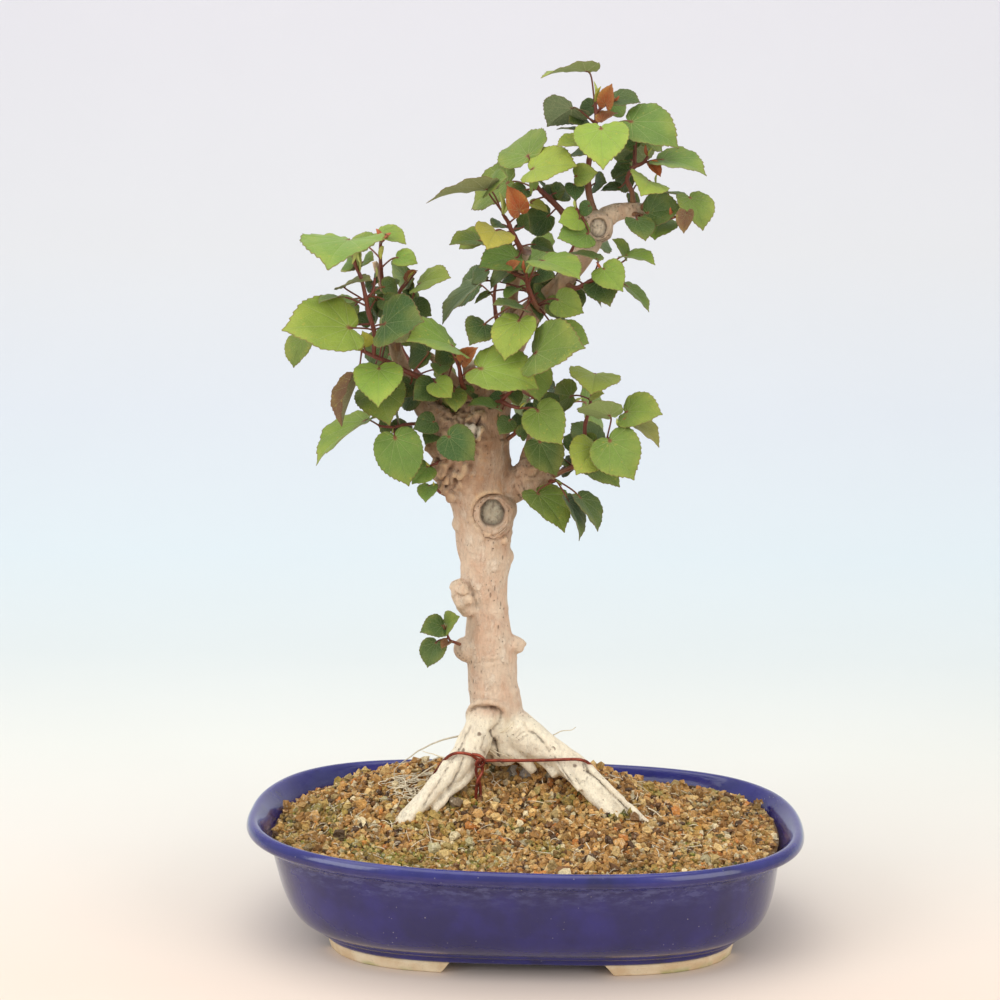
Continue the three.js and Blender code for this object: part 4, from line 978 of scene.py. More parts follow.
@dataclass
class SoilBed:
    """Granular soil that fills the pot to its lip and rises to a mound under the tree.

    Tints are colour codes with their weights. A pebble is (steps across, steps down, size, colour).
    """

    pot: Pot
    edge_height: float = 65.0
    mound: float = 29.0
    crest: tuple[float, float] = (-24.0, 30.0)
    spread: tuple[float, float] = (106.0, 55.0)
    inset: float = 15.4
    power: float = 2.6
    pitch: float = 3.38
    tints: tuple[tuple[int, float], ...] = (
        (0xD2A262, 6.5), (0xBF8F4E, 7), (0xE0BC7C, 4.5), (0xA47842, 6), (0xE8D4A8, 1.4), (0x805A36, 3),
        (0xC6803E, 1.6), (0x5A4330, 1.8), (0xC9B994, 0.8), (0xB29660, 2.4),
    )
    moss: tuple[int, ...] = (0x98993C, 0xA6A650, 0x74822E)
    stone_pitch: float = 9.5
    moss_pitch: float = 4.6
    pebbles: tuple[tuple[float, float, float, int], ...] = (
        (512, 775, 5.6, 0xA3998A), (526, 776, 5.8, 0xADA296), (499, 777, 3.4, 0xB09468), (540, 779, 3.8, 0xC08A48),
        (505, 784, 3.0, 0x9D8A6A), (456, 804, 5.0, 0x86735A), (549, 778, 3.0, 0xA89A80), (465, 791, 5.0, 0xA58C64),
        (427, 806, 3.2, 0x5C4C3A),
    )

    def edge(self, x: np.ndarray, y: np.ndarray) -> np.ndarray:
        """How far out a place is: 0 in the middle of the pot, 1 at its wall, which is squarer behind."""
        across = np.abs(x) / (self.pot.length / 2 - self.inset)
        deep = np.abs(y) / (self.pot.width / 2 - self.inset)
        power = self.power + 0.4 * (np.asarray(y) > 0)
        return (across**power + deep**power) ** (1 / power)

    def height(self, x: np.ndarray, y: np.ndarray) -> np.ndarray:
        """The edge height plus the mound: exp(-((x - cx) / sx)^4) exp(-((y - cy) / sy)^2) (1 - edge^8)."""
        across = np.exp(-(((x - self.crest[0]) / self.spread[0]) ** 4))
        deep = np.exp(-(((y - self.crest[1]) / self.spread[1]) ** 2))
        return self.edge_height + self.mound * across * deep * (1 - np.minimum(self.edge(x, y), 1) ** 8)

    def resting(self, across: Any, down: Any, lift: Any = 0.0) -> np.ndarray:
        """Points of the soil that show at grid places, each raised by lift.

        The sight line of each place is halved again and again towards the point where it meets the
        soil.

        Args:
            across: Grid steps from the left.
            down: Grid steps from the top.
            lift: Millimetres over the soil.

        Returns:
            Points in millimetres.
        """
        low = np.full(np.broadcast(across, down).shape, -160.0)
        high = -low
        for _ in range(30):
            middle = (low + high) / 2
            point = seen(across, down, middle)
            above = point[..., 2] > self.height(point[..., 0], point[..., 1]) + lift
            high = np.where(above, middle, high)
            low = np.where(above, low, middle)
        return seen(across, down, high)

    def bed(self) -> Form:
        """The closed body of soil: the pot's inside levels, then rings that close over the mound."""
        angle = self.pot.angles(144)[None]
        levels = np.array([row[:4] for row in self.pot.inside[:0:-1]]) + (0, 0.5, 0.5, 0)
        levels[0, 0] += 0.5
        height, inset_length, inset_width, power = smooth_run(levels, 3).T[:, :, None]
        wall = self.pot.oval(height, inset_length, inset_width, power, 1, angle)
        share = np.linspace(1, 0.03, 46)[:, None]
        top = self.pot.oval(self.edge_height, self.inset, self.inset - 1, self.power, share, angle)
        top[..., 2] = self.height(top[..., 0], top[..., 1]) - 0.9 + 0.7 * grain(top, 4, 2, 2)
        form = Form()
        form.add_rings(np.concatenate([wall, top]), tint=paint(0x86653C)[:3])
        return form

    def mossiness(self, places: np.ndarray) -> np.ndarray:
        """How readily moss grows at places: in patches, and more so at the front left."""
        front = ease(40, -90, places[:, 1]) * ease(60, -120, places[:, 0])
        return grain(places, 22, 9, 3) + 0.4 * front

    def palette(self, places: np.ndarray, seed: int) -> np.ndarray:
        """Tints of granules: a weighted pick, greener where moss grows and darker in patches."""
        codes = colours(*(code for code, _ in self.tints))
        weights = np.array([weight for _, weight in self.tints])
        order = np.arange(len(places))
        pick = np.searchsorted(np.cumsum(weights) / weights.sum(), chance(order + 17.3 * seed))
        tint = codes[np.minimum(pick, len(codes) - 1)] * (0.8 + 0.4 * chance(order * 1.7 + seed))[:, None]
        green = colours(*self.moss)[order % len(self.moss)]
        growth = ease(0.15, 0.7, self.mossiness(places) + 0.6 * (chance(order) - 0.5))
        tint = tint + (growth * 0.38)[:, None] * (green - tint)
        damp = ease(0.2, 0.6, grain(places, 34, 4, 2))
        return tint * (1 - 0.22 * damp)[:, None]

    def spread_places(self, pitch: float, seed: int) -> np.ndarray:
        """Places of a shaken hexagonal pattern inside the wall, with 0 for the height."""
        down, along = (int(size / 2 / pitch) for size in (self.pot.width, self.pot.length))
        rows = np.arange(-down - 2, down + 3) * pitch * 0.866
        columns = np.arange(-along - 2, along + 3) * pitch
        y, x = np.meshgrid(rows, columns, indexing="ij")
        x = x + 0.5 * pitch * (np.arange(len(rows)) % 2)[:, None]
        order = np.arange(x.size).reshape(x.shape)
        x = x + pitch * 0.75 * (chance(order + 7.7 * seed) - 0.5)
        y = y + pitch * 0.75 * (chance(order * 1.31 + 3.3 * seed) - 0.5)
        return np.stack([x, y, 0 * x], -1)[self.edge(x, y) < 0.985]

    def stones(self, places: np.ndarray, radius: np.ndarray, lift: np.ndarray, tint: np.ndarray, seed: int) -> Form:
        """Rounded, uneven stones, each a ball of three rings of five points, squashed and turned.

        Args:
            places: Where they lie along and across the pot.
            radius: Half the size of each.
            lift: Height of its middle over the soil.
            tint: Its colour.
            seed: Chooses another set of shapes.

        Returns:
            All stones in one form.
        """
        polar = np.array([0.9, 1.62, 2.3])[:, None]
        turn = np.arange(5) / 5 * TURN + np.array([0, 0.6, 1.2])[:, None]
        ball = np.stack([np.sin(polar) * np.cos(turn), np.sin(polar) * np.sin(turn), np.cos(polar) + 0 * turn], -1)
        ball = np.vstack([ball.reshape(-1, 3), [[0, 0, 1], [0, 0, -1]]])
        order = np.arange(len(places))
        shape = np.stack([0.85 + 0.4 * chance(order * k + seed) for k in (1.1, 1.9, 2.7)], -1)
        uneven = 1 + 0.95 * (chance(order[:, None] * 17.0 + np.arange(17) * 1.37 + seed) - 0.5)
        local = ball[None] * shape[:, None] * uneven[..., None] * radius[:, None, None]
        a, b = chance(order * 3.1 + seed) * TURN, chance(order * 4.3 + seed) * TURN
        ca, sa, cb, sb = np.cos(a), np.sin(a), np.cos(b), np.sin(b)
        zero, one = 0 * a, 0 * a + 1
        yaw = np.array([[ca, -sa, zero], [sa, ca, zero], [zero, zero, one]]).transpose(2, 0, 1)
        tilt = np.array([[one, zero, zero], [zero, cb, -sb], [zero, sb, cb]]).transpose(2, 0, 1)
        local = np.einsum("nij,njk,nvk->nvi", yaw, tilt, local)
        x, y = places.T[:2]
        centre = np.stack([x, y, self.height(x, y) + lift], -1)
        here, after = np.arange(5), (np.arange(5) + 1) % 5
        strips = [np.stack([5 * r + here, 5 * (r + 1) + here, 5 * (r + 1) + after, 5 * r + after], -1) for r in (0, 1)]
        caps = [np.stack([0 * here + 15, here, after], -1), np.stack([0 * here + 16, 10 + after, 10 + here], -1)]
        start = 17 * order[:, None, None]
        form = Form(smooth=False)
        form.add((local + centre[:, None]).reshape(-1, 3), (np.concatenate(strips)[None] + start).reshape(-1, 4),
                 (np.concatenate(caps)[None] + start).reshape(-1, 3), tint=np.repeat(tint, 17, 0))
        return form

    def granules(self) -> Form:
        """A close layer of granules three to five millimetres wide over the whole bed."""
        places = self.spread_places(self.pitch, 1)
        order = np.arange(len(places))
        radius = 1.5 + 1.05 * chance(order * 2.3 + 0.4) ** 1.8
        return self.stones(places, radius, -0.5 + 1.2 * chance(order * 5.1), self.palette(places, 1), 1)

    def loose_stones(self) -> Form:
        """Scattered larger and smaller stones on top, with a few big pale ones below the trunk."""
        places = self.spread_places(self.stone_pitch, 2)
        order = np.arange(len(places))
        radius = np.where(chance(order * 1.1) > 0.35, 0.9 + 0.5 * chance(order * 2.9), 2.3 + 0.9 * chance(order * 3.7))
        tint = self.palette(places, 2)
        pebbles = np.array([row[:3] for row in self.pebbles])
        big = self.resting(pebbles[:, 0], pebbles[:, 1], 1.0)
        lift = np.append(1.9 + 0.4 * radius, np.full(len(pebbles), 2.0))
        return self.stones(np.vstack([places, big]), np.append(radius, 0.75 * pebbles[:, 2]), lift,
                           np.vstack([tint, colours(*(row[3] for row in self.pebbles))]), 5)

    def tufts(self) -> Form:
        """Moss between the granules: groups of five tiny leaning cones, thickest at the front left."""
        places = self.spread_places(self.moss_pitch, 6)
        order = np.arange(len(places))
        growth = self.mossiness(places) + 0.5 * (chance(order * 1.9) - 0.5)
        x, y = places[growth > 0.5].T[:2]
        order = order[growth > 0.5]
        blade = np.arange(5)
        seed = order[:, None] * 5.0 + blade
        base = np.stack([x[:, None] + 2.2 * (chance(seed) - 0.5), y[:, None] + 2.2 * (chance(seed + 0.5) - 0.5)], -1)
        foot = np.concatenate([base, (self.height(base[..., 0], base[..., 1]) + 1.0)[..., None]], -1).reshape(-1, 3)
        lean = np.stack([chance(seed + 1.1) - 0.5, chance(seed + 2.2) - 0.5, 0.7 + 0.7 * chance(seed + 3.3)], -1)
        tip = foot + 1.3 * lean.reshape(-1, 3)
        angle = np.arange(3) / 3 * TURN
        rim = np.stack([np.cos(angle), np.sin(angle), 0 * angle], -1) * 0.42
        points = np.concatenate([foot[:, None] + rim[None], tip[:, None]], 1)
        faces = np.array([(0, 1, 3), (1, 2, 3), (2, 0, 3), (0, 2, 1)])
        start = 4 * np.arange(len(points))[:, None, None]
        green = colours(*self.moss)[np.arange(len(points)) % 3]
        form = Form()
        form.add(points, None, faces[None] + start, tint=np.repeat(green, 4, 0))
        return form

    def build(self) -> None:
        """Makes the bed, its granules, loose stones and moss in place of the CAD soil."""
        granular = GranuleFinish()
        self.bed().piece("soil_bed", granular, "soil", ["soil"])
        self.granules().piece("soil_granules", granular, "soil", ["soil"])
        self.loose_stones().piece("soil_stones", granular, "soil", ["soil"])
        self.tufts().piece("soil_moss", FibreFinish("moss", 0.8), "soil", ["soil"])


@dataclass
class DrainMeshes:
    """The two plastic meshes over the drain holes, which keep their CAD shape."""

    nodes: tuple[str, str] = ("drain_mesh_left", "drain_mesh_right")

    def build(self) -> None:
        """Gives both CAD nodes their dusty plastic."""
        finish = PlasticFinish().material()
        for name in self.nodes:
            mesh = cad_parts[name].data
            mesh.materials.clear()
            mesh.materials.append(finish)
            log.info("%s: plastic", name)


# Wood

@dataclass
class Trunk:
    """Root base, trunk, scars, stubs and woody limbs.

    Stations are (steps across, steps down, near, radius). A scar has a name and the row of scar,
    and its profile's rows are (share of the radius, height, hollow painted as shade, wood). A burr is
    (steps across, steps down, reach in steps, share). A mark is a depth, a width and its places.
    """

    voxel: float = 1.0
    limb_sides: int = 20
    strand_sides: int = 12
    smoothing: float = 0.6
    hollow_rounds: int = 6
    crack_reach: float = 2.4
    limbs: tuple[Rows, ...] = (
        ((508, 757, -2, 11), (503, 744, 0, 14), (499, 728, 0, 16), (496, 705, 0, 16.2), (493, 685, 0, 15.2),
         (492, 662, 0, 15.4), (489, 640, 0, 14.6), (487.5, 612, 0, 13.2), (485, 592, 0, 13.9), (484.5, 575, 0, 14.6),
         (485.5, 560, 0, 15.6), (483.5, 540, 0, 17), (483.5, 512, 0, 18.2), (480, 488, 0, 19.5), (475, 466, 0, 22),
         (476, 445, 0, 21), (482, 425, 0, 18), (490, 402, 0, 13.5), (496, 382, -1, 10)),
        ((490, 405, 0, 12), (496, 382, -1, 10.5), (507, 352, -3, 9), (521, 324, -2, 8), (540, 304, 0, 7),
         (562, 284, 4, 6.2), (580, 260, 6, 6), (592, 238, 8, 7), (602, 220, 8, 6.6), (618, 212, 6, 5.2),
         (634, 210, 4, 4.6), (646, 208.5, 3, 3.8)),
        ((508, 350, -4, 6), (512, 325, -10, 5.4), (512, 292, -15, 4.4), (518, 268, -10, 3.6), (528, 247, -4, 3)),
        ((470, 415, 0, 8), (452, 402, -2, 6.2), (430, 391, -5, 5.2), (408, 377, -8, 4.6), (396, 350, -8, 3.8),
         (390, 320, -6, 3.2), (385, 296, -5, 2.9), (379, 276, -4, 2.5), (375, 261, -3, 2)),
        ((492, 402, -4, 9), (500, 375, -20, 6.5), (515, 350, -34, 5), (530, 325, -46, 4), (548, 300, -52, 3)),
        ((503, 489, 0, 12), (520, 482, 4, 10), (534, 478, 5, 8), (546, 477.5, 6, 5.6), (555, 476.5, 6, 3)),
        ((521, 474, 2, 2.8), (524, 456, 0, 2.4), (529, 441, -2, 2.1), (532, 430, -2, 1.8)),
        ((474, 476, 4, 16), (455, 448, 8, 13.5), (440, 425, 7, 10), (425, 409, 5, 6.5), (418, 403, 4, 5)),
        ((446, 462, 10, 5), (434, 452, 12, 3.6), (425, 447, 12, 2.4)),
        ((480, 412, 4, 7.5), (474, 391, 5, 4.4), (470, 374, 5, 3.9), (468, 360, 5, 4.2)),
        ((470, 408, 2, 6), (452, 380, 3, 3.6), (437, 363, 3, 2.7), (423, 351, 3, 2.8)),
        ((484, 444, 4, 9), (474, 434, 14, 7.5), (471, 431, 21, 6.2)),
        ((471, 610, 5, 7), (464, 599, 8, 6), (459, 588, 9, 5), (456, 581, 9, 3.6)),
        ((503, 651, 2, 9), (514, 645, 3, 6.5), (524, 648, 3, 2.8)),
        ((490, 697, 2, 9), (485.5, 712, 9, 9.8), (479, 732, 14, 9.8), (471, 750, 17, 9.2), (444, 782, 24, 6.8),
         (420, 805, 31, 5.6), (408, 816, 36, 5), (392, 831, 40, 4)),
        ((504, 716, 0, 9.5), (514, 726, 4, 11.5), (530, 739, 8, 11.2), (553, 753, 12, 9), (573, 767, 16, 8.5),
         (592, 784, 20, 8), (615, 805, 25, 6.6), (636, 823, 28, 5), (651, 836, 30, 4)),
        ((498, 728, -6, 11), (488, 752, -22, 7.5), (474, 778, -40, 5.5), (464, 802, -52, 4)),
        ((512, 728, -6, 10), (536, 752, -24, 7), (556, 776, -42, 5.5), (566, 800, -54, 4)),
    )
    strands: tuple[Rows, ...] = (
        ((468, 721, 8, 1.6), (468.5, 712, 12, 1.9), (474, 705, 15.5, 2.1), (484, 702.5, 18, 2.1), (496, 704, 18, 2.3),
         (504, 710, 16, 2.6), (505, 718, 14.5, 2.5), (500, 727, 13, 2.2), (494, 733, 13, 1.6)),
        ((472, 742, 19, 4), (462, 754, 20, 3.6), (450, 768, 23, 3.2), (434, 788, 30, 3), (418, 808, 38, 2.6)),
        ((484, 744, 18, 3.6), (476, 764, 19, 3.8), (462, 782, 23, 3.4), (446, 798, 29, 3), (434, 812, 34, 2.4)),
        ((476, 730, 14, 3), (468, 756, 17, 3), (452, 776, 25, 2.6), (430, 800, 34, 2.4), (408, 822, 42, 2)),
        ((468, 724, 12, 1.3), (460, 737, 15, 1.4), (454, 750, 18, 1.4), (443, 764, 22, 1.3), (437, 774, 25, 1.2)),
        ((543, 738, 10, 4.5), (552, 752, 13, 4.2), (566, 768, 18, 4), (584, 788, 25, 3.8), (602, 806, 30, 3.4),
         (620, 822, 34, 2.6)),
        ((536, 732, 8, 4.5), (560, 750, 12, 4), (584, 768, 19, 4), (604, 786, 26, 3.8), (628, 808, 31, 3.4),
         (648, 824, 34, 2.6)),
        ((520, 742, 12, 5), (536, 752, 13, 4.5), (549, 764, 14, 4), (556, 776, 20, 2.6)),
        ((546, 742, 15, 2.2), (554, 756, 19, 2.4), (564, 770, 24, 2.4), (572, 780, 28, 2.2), (580, 791, 31, 1.8)),
        ((440, 780, 24, 6), (430, 793, 30, 5.4), (419, 806, 36, 4), (410, 816, 40, 2.6)),
        ((452, 766, 20, 4.6), (456, 776, 22, 4), (452, 786, 25, 3)),
        ((418, 803, 36, 2.2), (409, 810, 38, 1.8), (400, 815, 39, 1.4)),
        ((500, 745, 8, 4), (512, 752, 10, 4.2), (524, 760, 10, 3.8), (534, 772, 12, 2.4)),
    )
    knots: Rows = (
        (504, 556, 2, 6.4), (462, 524, 6, 6), (466, 649, 4, 7.4), (450, 468, 10, 11), (528, 471, 8, 7),
        (458, 467, 20, 2.6), (464, 471, 21, 2.4), (461, 475, 21, 2.2), (467, 466, 21, 2.0), (456, 473, 20, 2.2),
        (441, 447, 14, 4.4), (453, 427, 13, 5.0), (446, 421, 12, 4.2), (466, 424, 15, 4.6), (458, 439, 15, 4.4),
        (447, 456, 17, 4.2), (533, 469, 11, 4.6), (486, 541, 14.6, 2.2), (495, 543.5, 14.9, 2.3),
        (505, 540.5, 13.2, 2.1), (478, 536, 15, 2.2), (463, 590, 14, 2.6), (468, 600, 14, 3.2),
        (458, 583, 12, 2.4), (461, 605, 12, 2.6), (443, 488, 11.4, 4.0), (451, 497, 12.4, 3.4),
        (438, 474, 14, 3.6), (523, 492, 12, 3.2), (541, 470, 10, 3.4), (470, 440, 18, 3.2), (481, 418, 16, 3.4),
        (459, 452, 17, 3.0), (473, 458, 18, 2.6), (472, 519, 14.5, 3.2),
    )
    scars: tuple[tuple[str, Sequence[float]], ...] = (
        ("scar_front", (492.6, 512, 14.5, 12.4, 0.84, 1.3, 1.0)),
        ("scar_crown", (598, 227.5, 13, 8.4, 1.05, 1.0, 0.25)),
    )
    scar_profile: Rows = (
        (1.16, -6, 0.1, 0), (1.1, -1.6, 0.1, 0), (1.0, 1.2, 0, 0), (0.9, 2.5, 0, 0), (0.8, 2.9, 0, 0),
        (0.7, 3.2, 0, 0), (0.62, 2.4, 0.2, 0), (0.57, 0.7, 1, 0.4), (0.52, 0.2, 0.7, 1), (0.36, 0.7, 0.1, 1),
        (0.2, 1.0, 0, 1), (0.05, 1.0, 0.2, 1),
    )
    cuts: Rows = ((468, 360, 5, 5.4), (423, 351, 3, 3.8), (471, 431, 22, 6.4), (646, 208.5, 3, 4.8))
    burrs: Rows = (
        (450, 476, 24, 1.0), (452, 424, 26, 1.0), (472, 440, 18, 0.8), (531, 474, 20, 0.8), (462, 592, 13, 0.9),
        (494, 534, 17, 0.6), (520, 648, 9, 0.6), (461, 650, 9, 0.5), (470, 408, 22, 0.8),
    )
    ridges: tuple[float, ...] = (565, 607, 659, 690)
    marks: tuple[tuple[float, float, Rows], ...] = (
        (-2.6, 2.2, ((481, 410), (480, 420), (477, 428), (474, 441), (470, 447))),
        (-2.0, 1.6, ((466, 412), (464, 420), (462, 430), (461, 437))),
        (-1.8, 1.4, ((443, 416), (449, 420), (453, 425))),
        (-1.6, 1.3, ((462, 423), (470, 422), (479, 424))),
        (-2.2, 1.7, ((454, 461), (452, 465), (449, 472), (444, 478), (440, 481))),
        (-1.2, 1.2, ((451, 474), (450, 482), (446, 488))),
        (-1.2, 1.1, ((462, 478), (457, 481), (453, 488))),
        (-1.6, 1.3, ((432, 456), (439, 460), (447, 461))),
        (-1.5, 1.3, ((481, 531), (484, 536), (488, 538.5), (497, 539), (505, 534.5), (511, 529.5))),
        (0.9, 2.4, ((470, 506), (471, 516), (475, 525), (482, 533), (491, 536), (502, 534), (510, 526), (514, 515))),
        (0.8, 2.0, ((472, 502), (478, 496), (487, 493), (497, 494), (506, 499))),
        (-1.4, 1.4, ((514, 486), (517, 492), (520, 497), (521, 501))),
        (-0.9, 1.1, ((520, 480), (523, 486), (524, 492))),
        (-1.0, 1.2, ((526, 474), (531, 477), (537, 474), (538, 468), (533, 465), (528, 468))),
        (-0.7, 1.1, ((502, 440), (508, 438), (513, 439))),
        (0.7, 1.6, ((480, 443), (490, 441), (502, 443), (512, 442))),
        (-1.0, 1.2, ((470, 712), (475, 708), (488, 707), (498, 709.5), (501, 715), (499, 722), (494, 729))),
        (-2.2, 2.4, ((492, 731), (494, 740), (496, 750), (500, 757))),
        (-0.9, 1.1, ((484, 738), (482, 746), (483, 752), (485, 757))),
        (-0.6, 0.8, ((512, 736), (516, 732), (522, 729))),
        (-0.6, 0.8, ((514, 741), (519, 735), (525, 732))),
        (-0.5, 0.8, ((516, 745), (522, 739), (528, 735))),
        (-1.5, 1.3, ((524, 722), (528, 730), (537, 735), (545, 743), (549, 752))),
        (-1.0, 1.3, ((533, 746), (536, 750), (537, 753))),
        (-2.4, 2.1, ((588, 770), (597, 779), (608, 791), (620, 803), (634, 818))),
        (-1.4, 1.4, ((554, 757), (560, 765), (566, 776), (572, 785))),
        (-1.2, 1.2, ((574, 752), (583, 762), (592, 774))),
        (-1.5, 1.5, ((464, 758), (460, 768), (455, 779), (449, 788))),
        (-1.1, 1.2, ((448, 768), (440, 780), (432, 793), (424, 806))),
        (-1.0, 1.2, ((470, 726), (464, 738), (459, 750), (450, 762))),
        (-0.4, 1.4, ((470, 580), (471, 590), (475, 600), (479, 608))),
        (-0.8, 1.0, ((459, 594), (463, 596), (467, 594))),
        (0.5, 1.1, ((472, 566), (484, 564), (497, 565), (510, 563))),
        (0.5, 1.1, ((466, 662), (478, 659), (492, 659), (506, 657), (516, 656))),
        (-0.2, 0.8, ((472, 664), (480, 662.5), (494, 662), (504, 661))),
    )

    def limb(self, rows: Rows, sides: int) -> np.ndarray:
        """Rings of a limb, smooth between its stations."""
        run = smooth_run(rows, 6)
        return carried(seen(*run.T[:3]), run[:, 3], sides)

    def ball(self, row: Sequence[float]) -> np.ndarray:
        """Rings of a lumpy knob."""
        across, down, near, radius = row
        polar = np.linspace(0.12, math.pi - 0.12, 12)
        path = seen(across, down, near) + radius * np.cos(polar)[::-1, None] * UP
        return carried(path, radius * np.sin(polar), 18)

    def fused(self) -> bpy.types.Mesh:
        """All limbs, strands and knots melted into one skin of even squares."""
        form = Form()
        for runs, sides in ((self.limbs, self.limb_sides), (self.strands, self.strand_sides)):
            for rows in runs:
                form.add_rings(self.limb(rows, sides))
        for row in self.knots:
            form.add_rings(self.ball(row))
        lump = linked("lump", form.mesh("lump"))
        melt = lump.modifiers.new("melt", "REMESH")
        melt.mode, melt.voxel_size, melt.adaptivity = "VOXEL", self.voxel * METRES, 0
        mesh = applied(lump)
        bpy.data.objects.remove(lump)
        return mesh

    def relief(self, points: np.ndarray) -> np.ndarray:
        """How far the bark stands out: broad lumps, finer grain, and faint rings round the trunk."""
        height = points[:, 2]
        rough = 1 + 1.2 * ease(265, 320, height) + 0.5 * ease(110, 80, height)
        lift = 0.55 * grain(points, 17, 1, 2) + 0.34 * rough * grain(points * (1, 1, 0.6), 5.5, 4, 2)
        lift += -0.9 * rough * ease(0.25, 0.7, grain(points * (1, 1, 0.35), 9, 8, 2))
        across, down, _ = gridded(points)
        gnarl = 1 - 2.4 * np.abs(grain(points, 5.5, 21, 2)) + 0.6 * grain(points, 2.6, 22, 2)
        for burr_x, burr_y, reach, share in self.burrs:
            lift += 1.8 * share * gnarl * np.exp(-(((across - burr_x) ** 2 + (down - burr_y) ** 2) / reach**2))
        wave = height + 1.5 * grain(points, 14, 3)
        for level in seen(488, np.array(self.ridges), 0)[:, 2]:
            lift += 0.35 * np.exp(-(((wave - level) / 1.4) ** 2))
        return lift

    def folds(self, points: np.ndarray, normals: np.ndarray) -> tuple[np.ndarray, np.ndarray, np.ndarray]:
        """How far the drawn folds and cracks lift or sink the bark, and where the cracks run.

        A mark is a line of grid places with a depth and a width, both in millimetres. Its depth
        falls off as exp(-(d / width)^2) with the distance d in the view, on faces turned to the
        front only. A crack's nearness is 1 on its line and 0 from crack_reach on, so that the finish
        can paint the crack's shade thinner than the faces are.

        Args:
            points: Points of the bark.
            normals: Their directions outwards.

        Returns:
            Lift in millimetres, nearness to a crack, and that crack's weight from 0 to 1.
        """
        across, down, step = gridded(points)
        facing = ease(0.1, 0.45, -(normals @ AHEAD)) * (points @ AHEAD < 30)
        wobble = np.stack([grain(points, 3.4, 11, 2), grain(points, 3.4, 12, 2)], -1) * 1.7
        place = np.stack([across, down], -1) + wobble
        lift, crack, weight = np.zeros((3, len(points)))
        for depth, width, rows in self.marks:
            line = smooth_run(rows, 3)
            near = np.full(len(points), 1e9)
            for start, end in zip(line[:-1], line[1:]):
                span = end - start
                share = np.clip((place - start) @ span / max(span @ span, 1e-9), 0, 1)
                gap = np.linalg.norm(place - start - share[:, None] * span, axis=1)
                near = np.minimum(near, gap * step)
            shape = np.exp(-((near / (0.85 * width)) ** 2)) * facing
            lift += 0.85 * depth * shape * (0.75 + 0.6 * grain(points, 5, 14))
            if depth < 0:
                close = np.clip(1 - near / self.crack_reach, 0, 1) * facing
                weight = np.where(close > crack, min(0.8, 0.02 - 0.34 * depth), weight)
                crack = np.maximum(crack, close)
        return lift, crack, weight

    def dimples(self, points: np.ndarray) -> np.ndarray:
        """Points pressed in behind the pruning scars, so that each scar lies in its own hollow."""
        for _, (across, down, near, radius, *_) in self.scars:
            away = points - seen(across, down, near)
            front = -(away @ AHEAD)
            aside = np.linalg.norm(away + front[:, None] * AHEAD, axis=1)
            sink = np.maximum(front + 2.5, 0) * ease(radius, 0.8 * radius, aside) * (np.abs(front) < 9)
            points = points + sink[:, None] * AHEAD
        return points

    def bark(self) -> bpy.types.Mesh:
        """The skin smoothed, pushed out by its relief, and marked with painted shade in its hollows, painted
        highlights on its ridges, and cut ends.
        """
        mesh = self.fused()
        points = read_values(mesh.vertices, "co", 3).astype(float) / METRES
        count = len(points)
        a, b = read_values(mesh.edges, "vertices", 2, np.int32).T
        degree = np.bincount(a, minlength=count) + np.bincount(b, minlength=count)

        def averaged(values: np.ndarray) -> np.ndarray:
            """Each point's mean over the points that edges join to it."""
            columns = []
            for column in values.T:
                total = np.bincount(a, column[b], count) + np.bincount(b, column[a], count)
                columns.append(total / np.maximum(degree, 1))
            return np.stack(columns, -1)

        points = (1 - self.smoothing) * points + self.smoothing * averaged(points)
        normals = read_values(mesh.vertices, "normal", 3)
        drawn, crack, weight = self.folds(points, normals)
        points = points + (self.relief(points) + drawn)[:, None] * normals
        points = self.dimples(points)
        mean = points
        for _ in range(self.hollow_rounds):
            mean = averaged(mean)
        depth = np.sum((mean - points) * normals, axis=1)
        depth = averaged(depth[:, None])[:, 0]
        hollow_shade = 0.9 * ease(0.12, 1.0, depth)
        # how far out a point stands, which the finish paints as a highlight
        ridge_highlight = ease(0.05, 0.8, -depth)
        fresh = np.zeros(count)
        for across, down, near, radius in self.cuts:
            gap = np.linalg.norm(points - seen(across, down, near), axis=1)
            fresh = np.maximum(fresh, ease(radius, 0.75 * radius, gap))
        mesh.vertices.foreach_set("co", (points * METRES).astype(np.float32).ravel())
        put_values(mesh, "trait", np.stack([hollow_shade, 0 * hollow_shade, fresh], -1))
        put_values(mesh, "tint", np.stack([crack, weight, ridge_highlight], -1))
        mesh.polygons.foreach_set("use_smooth", np.ones(len(mesh.polygons), bool))
        mesh.update()
        return mesh

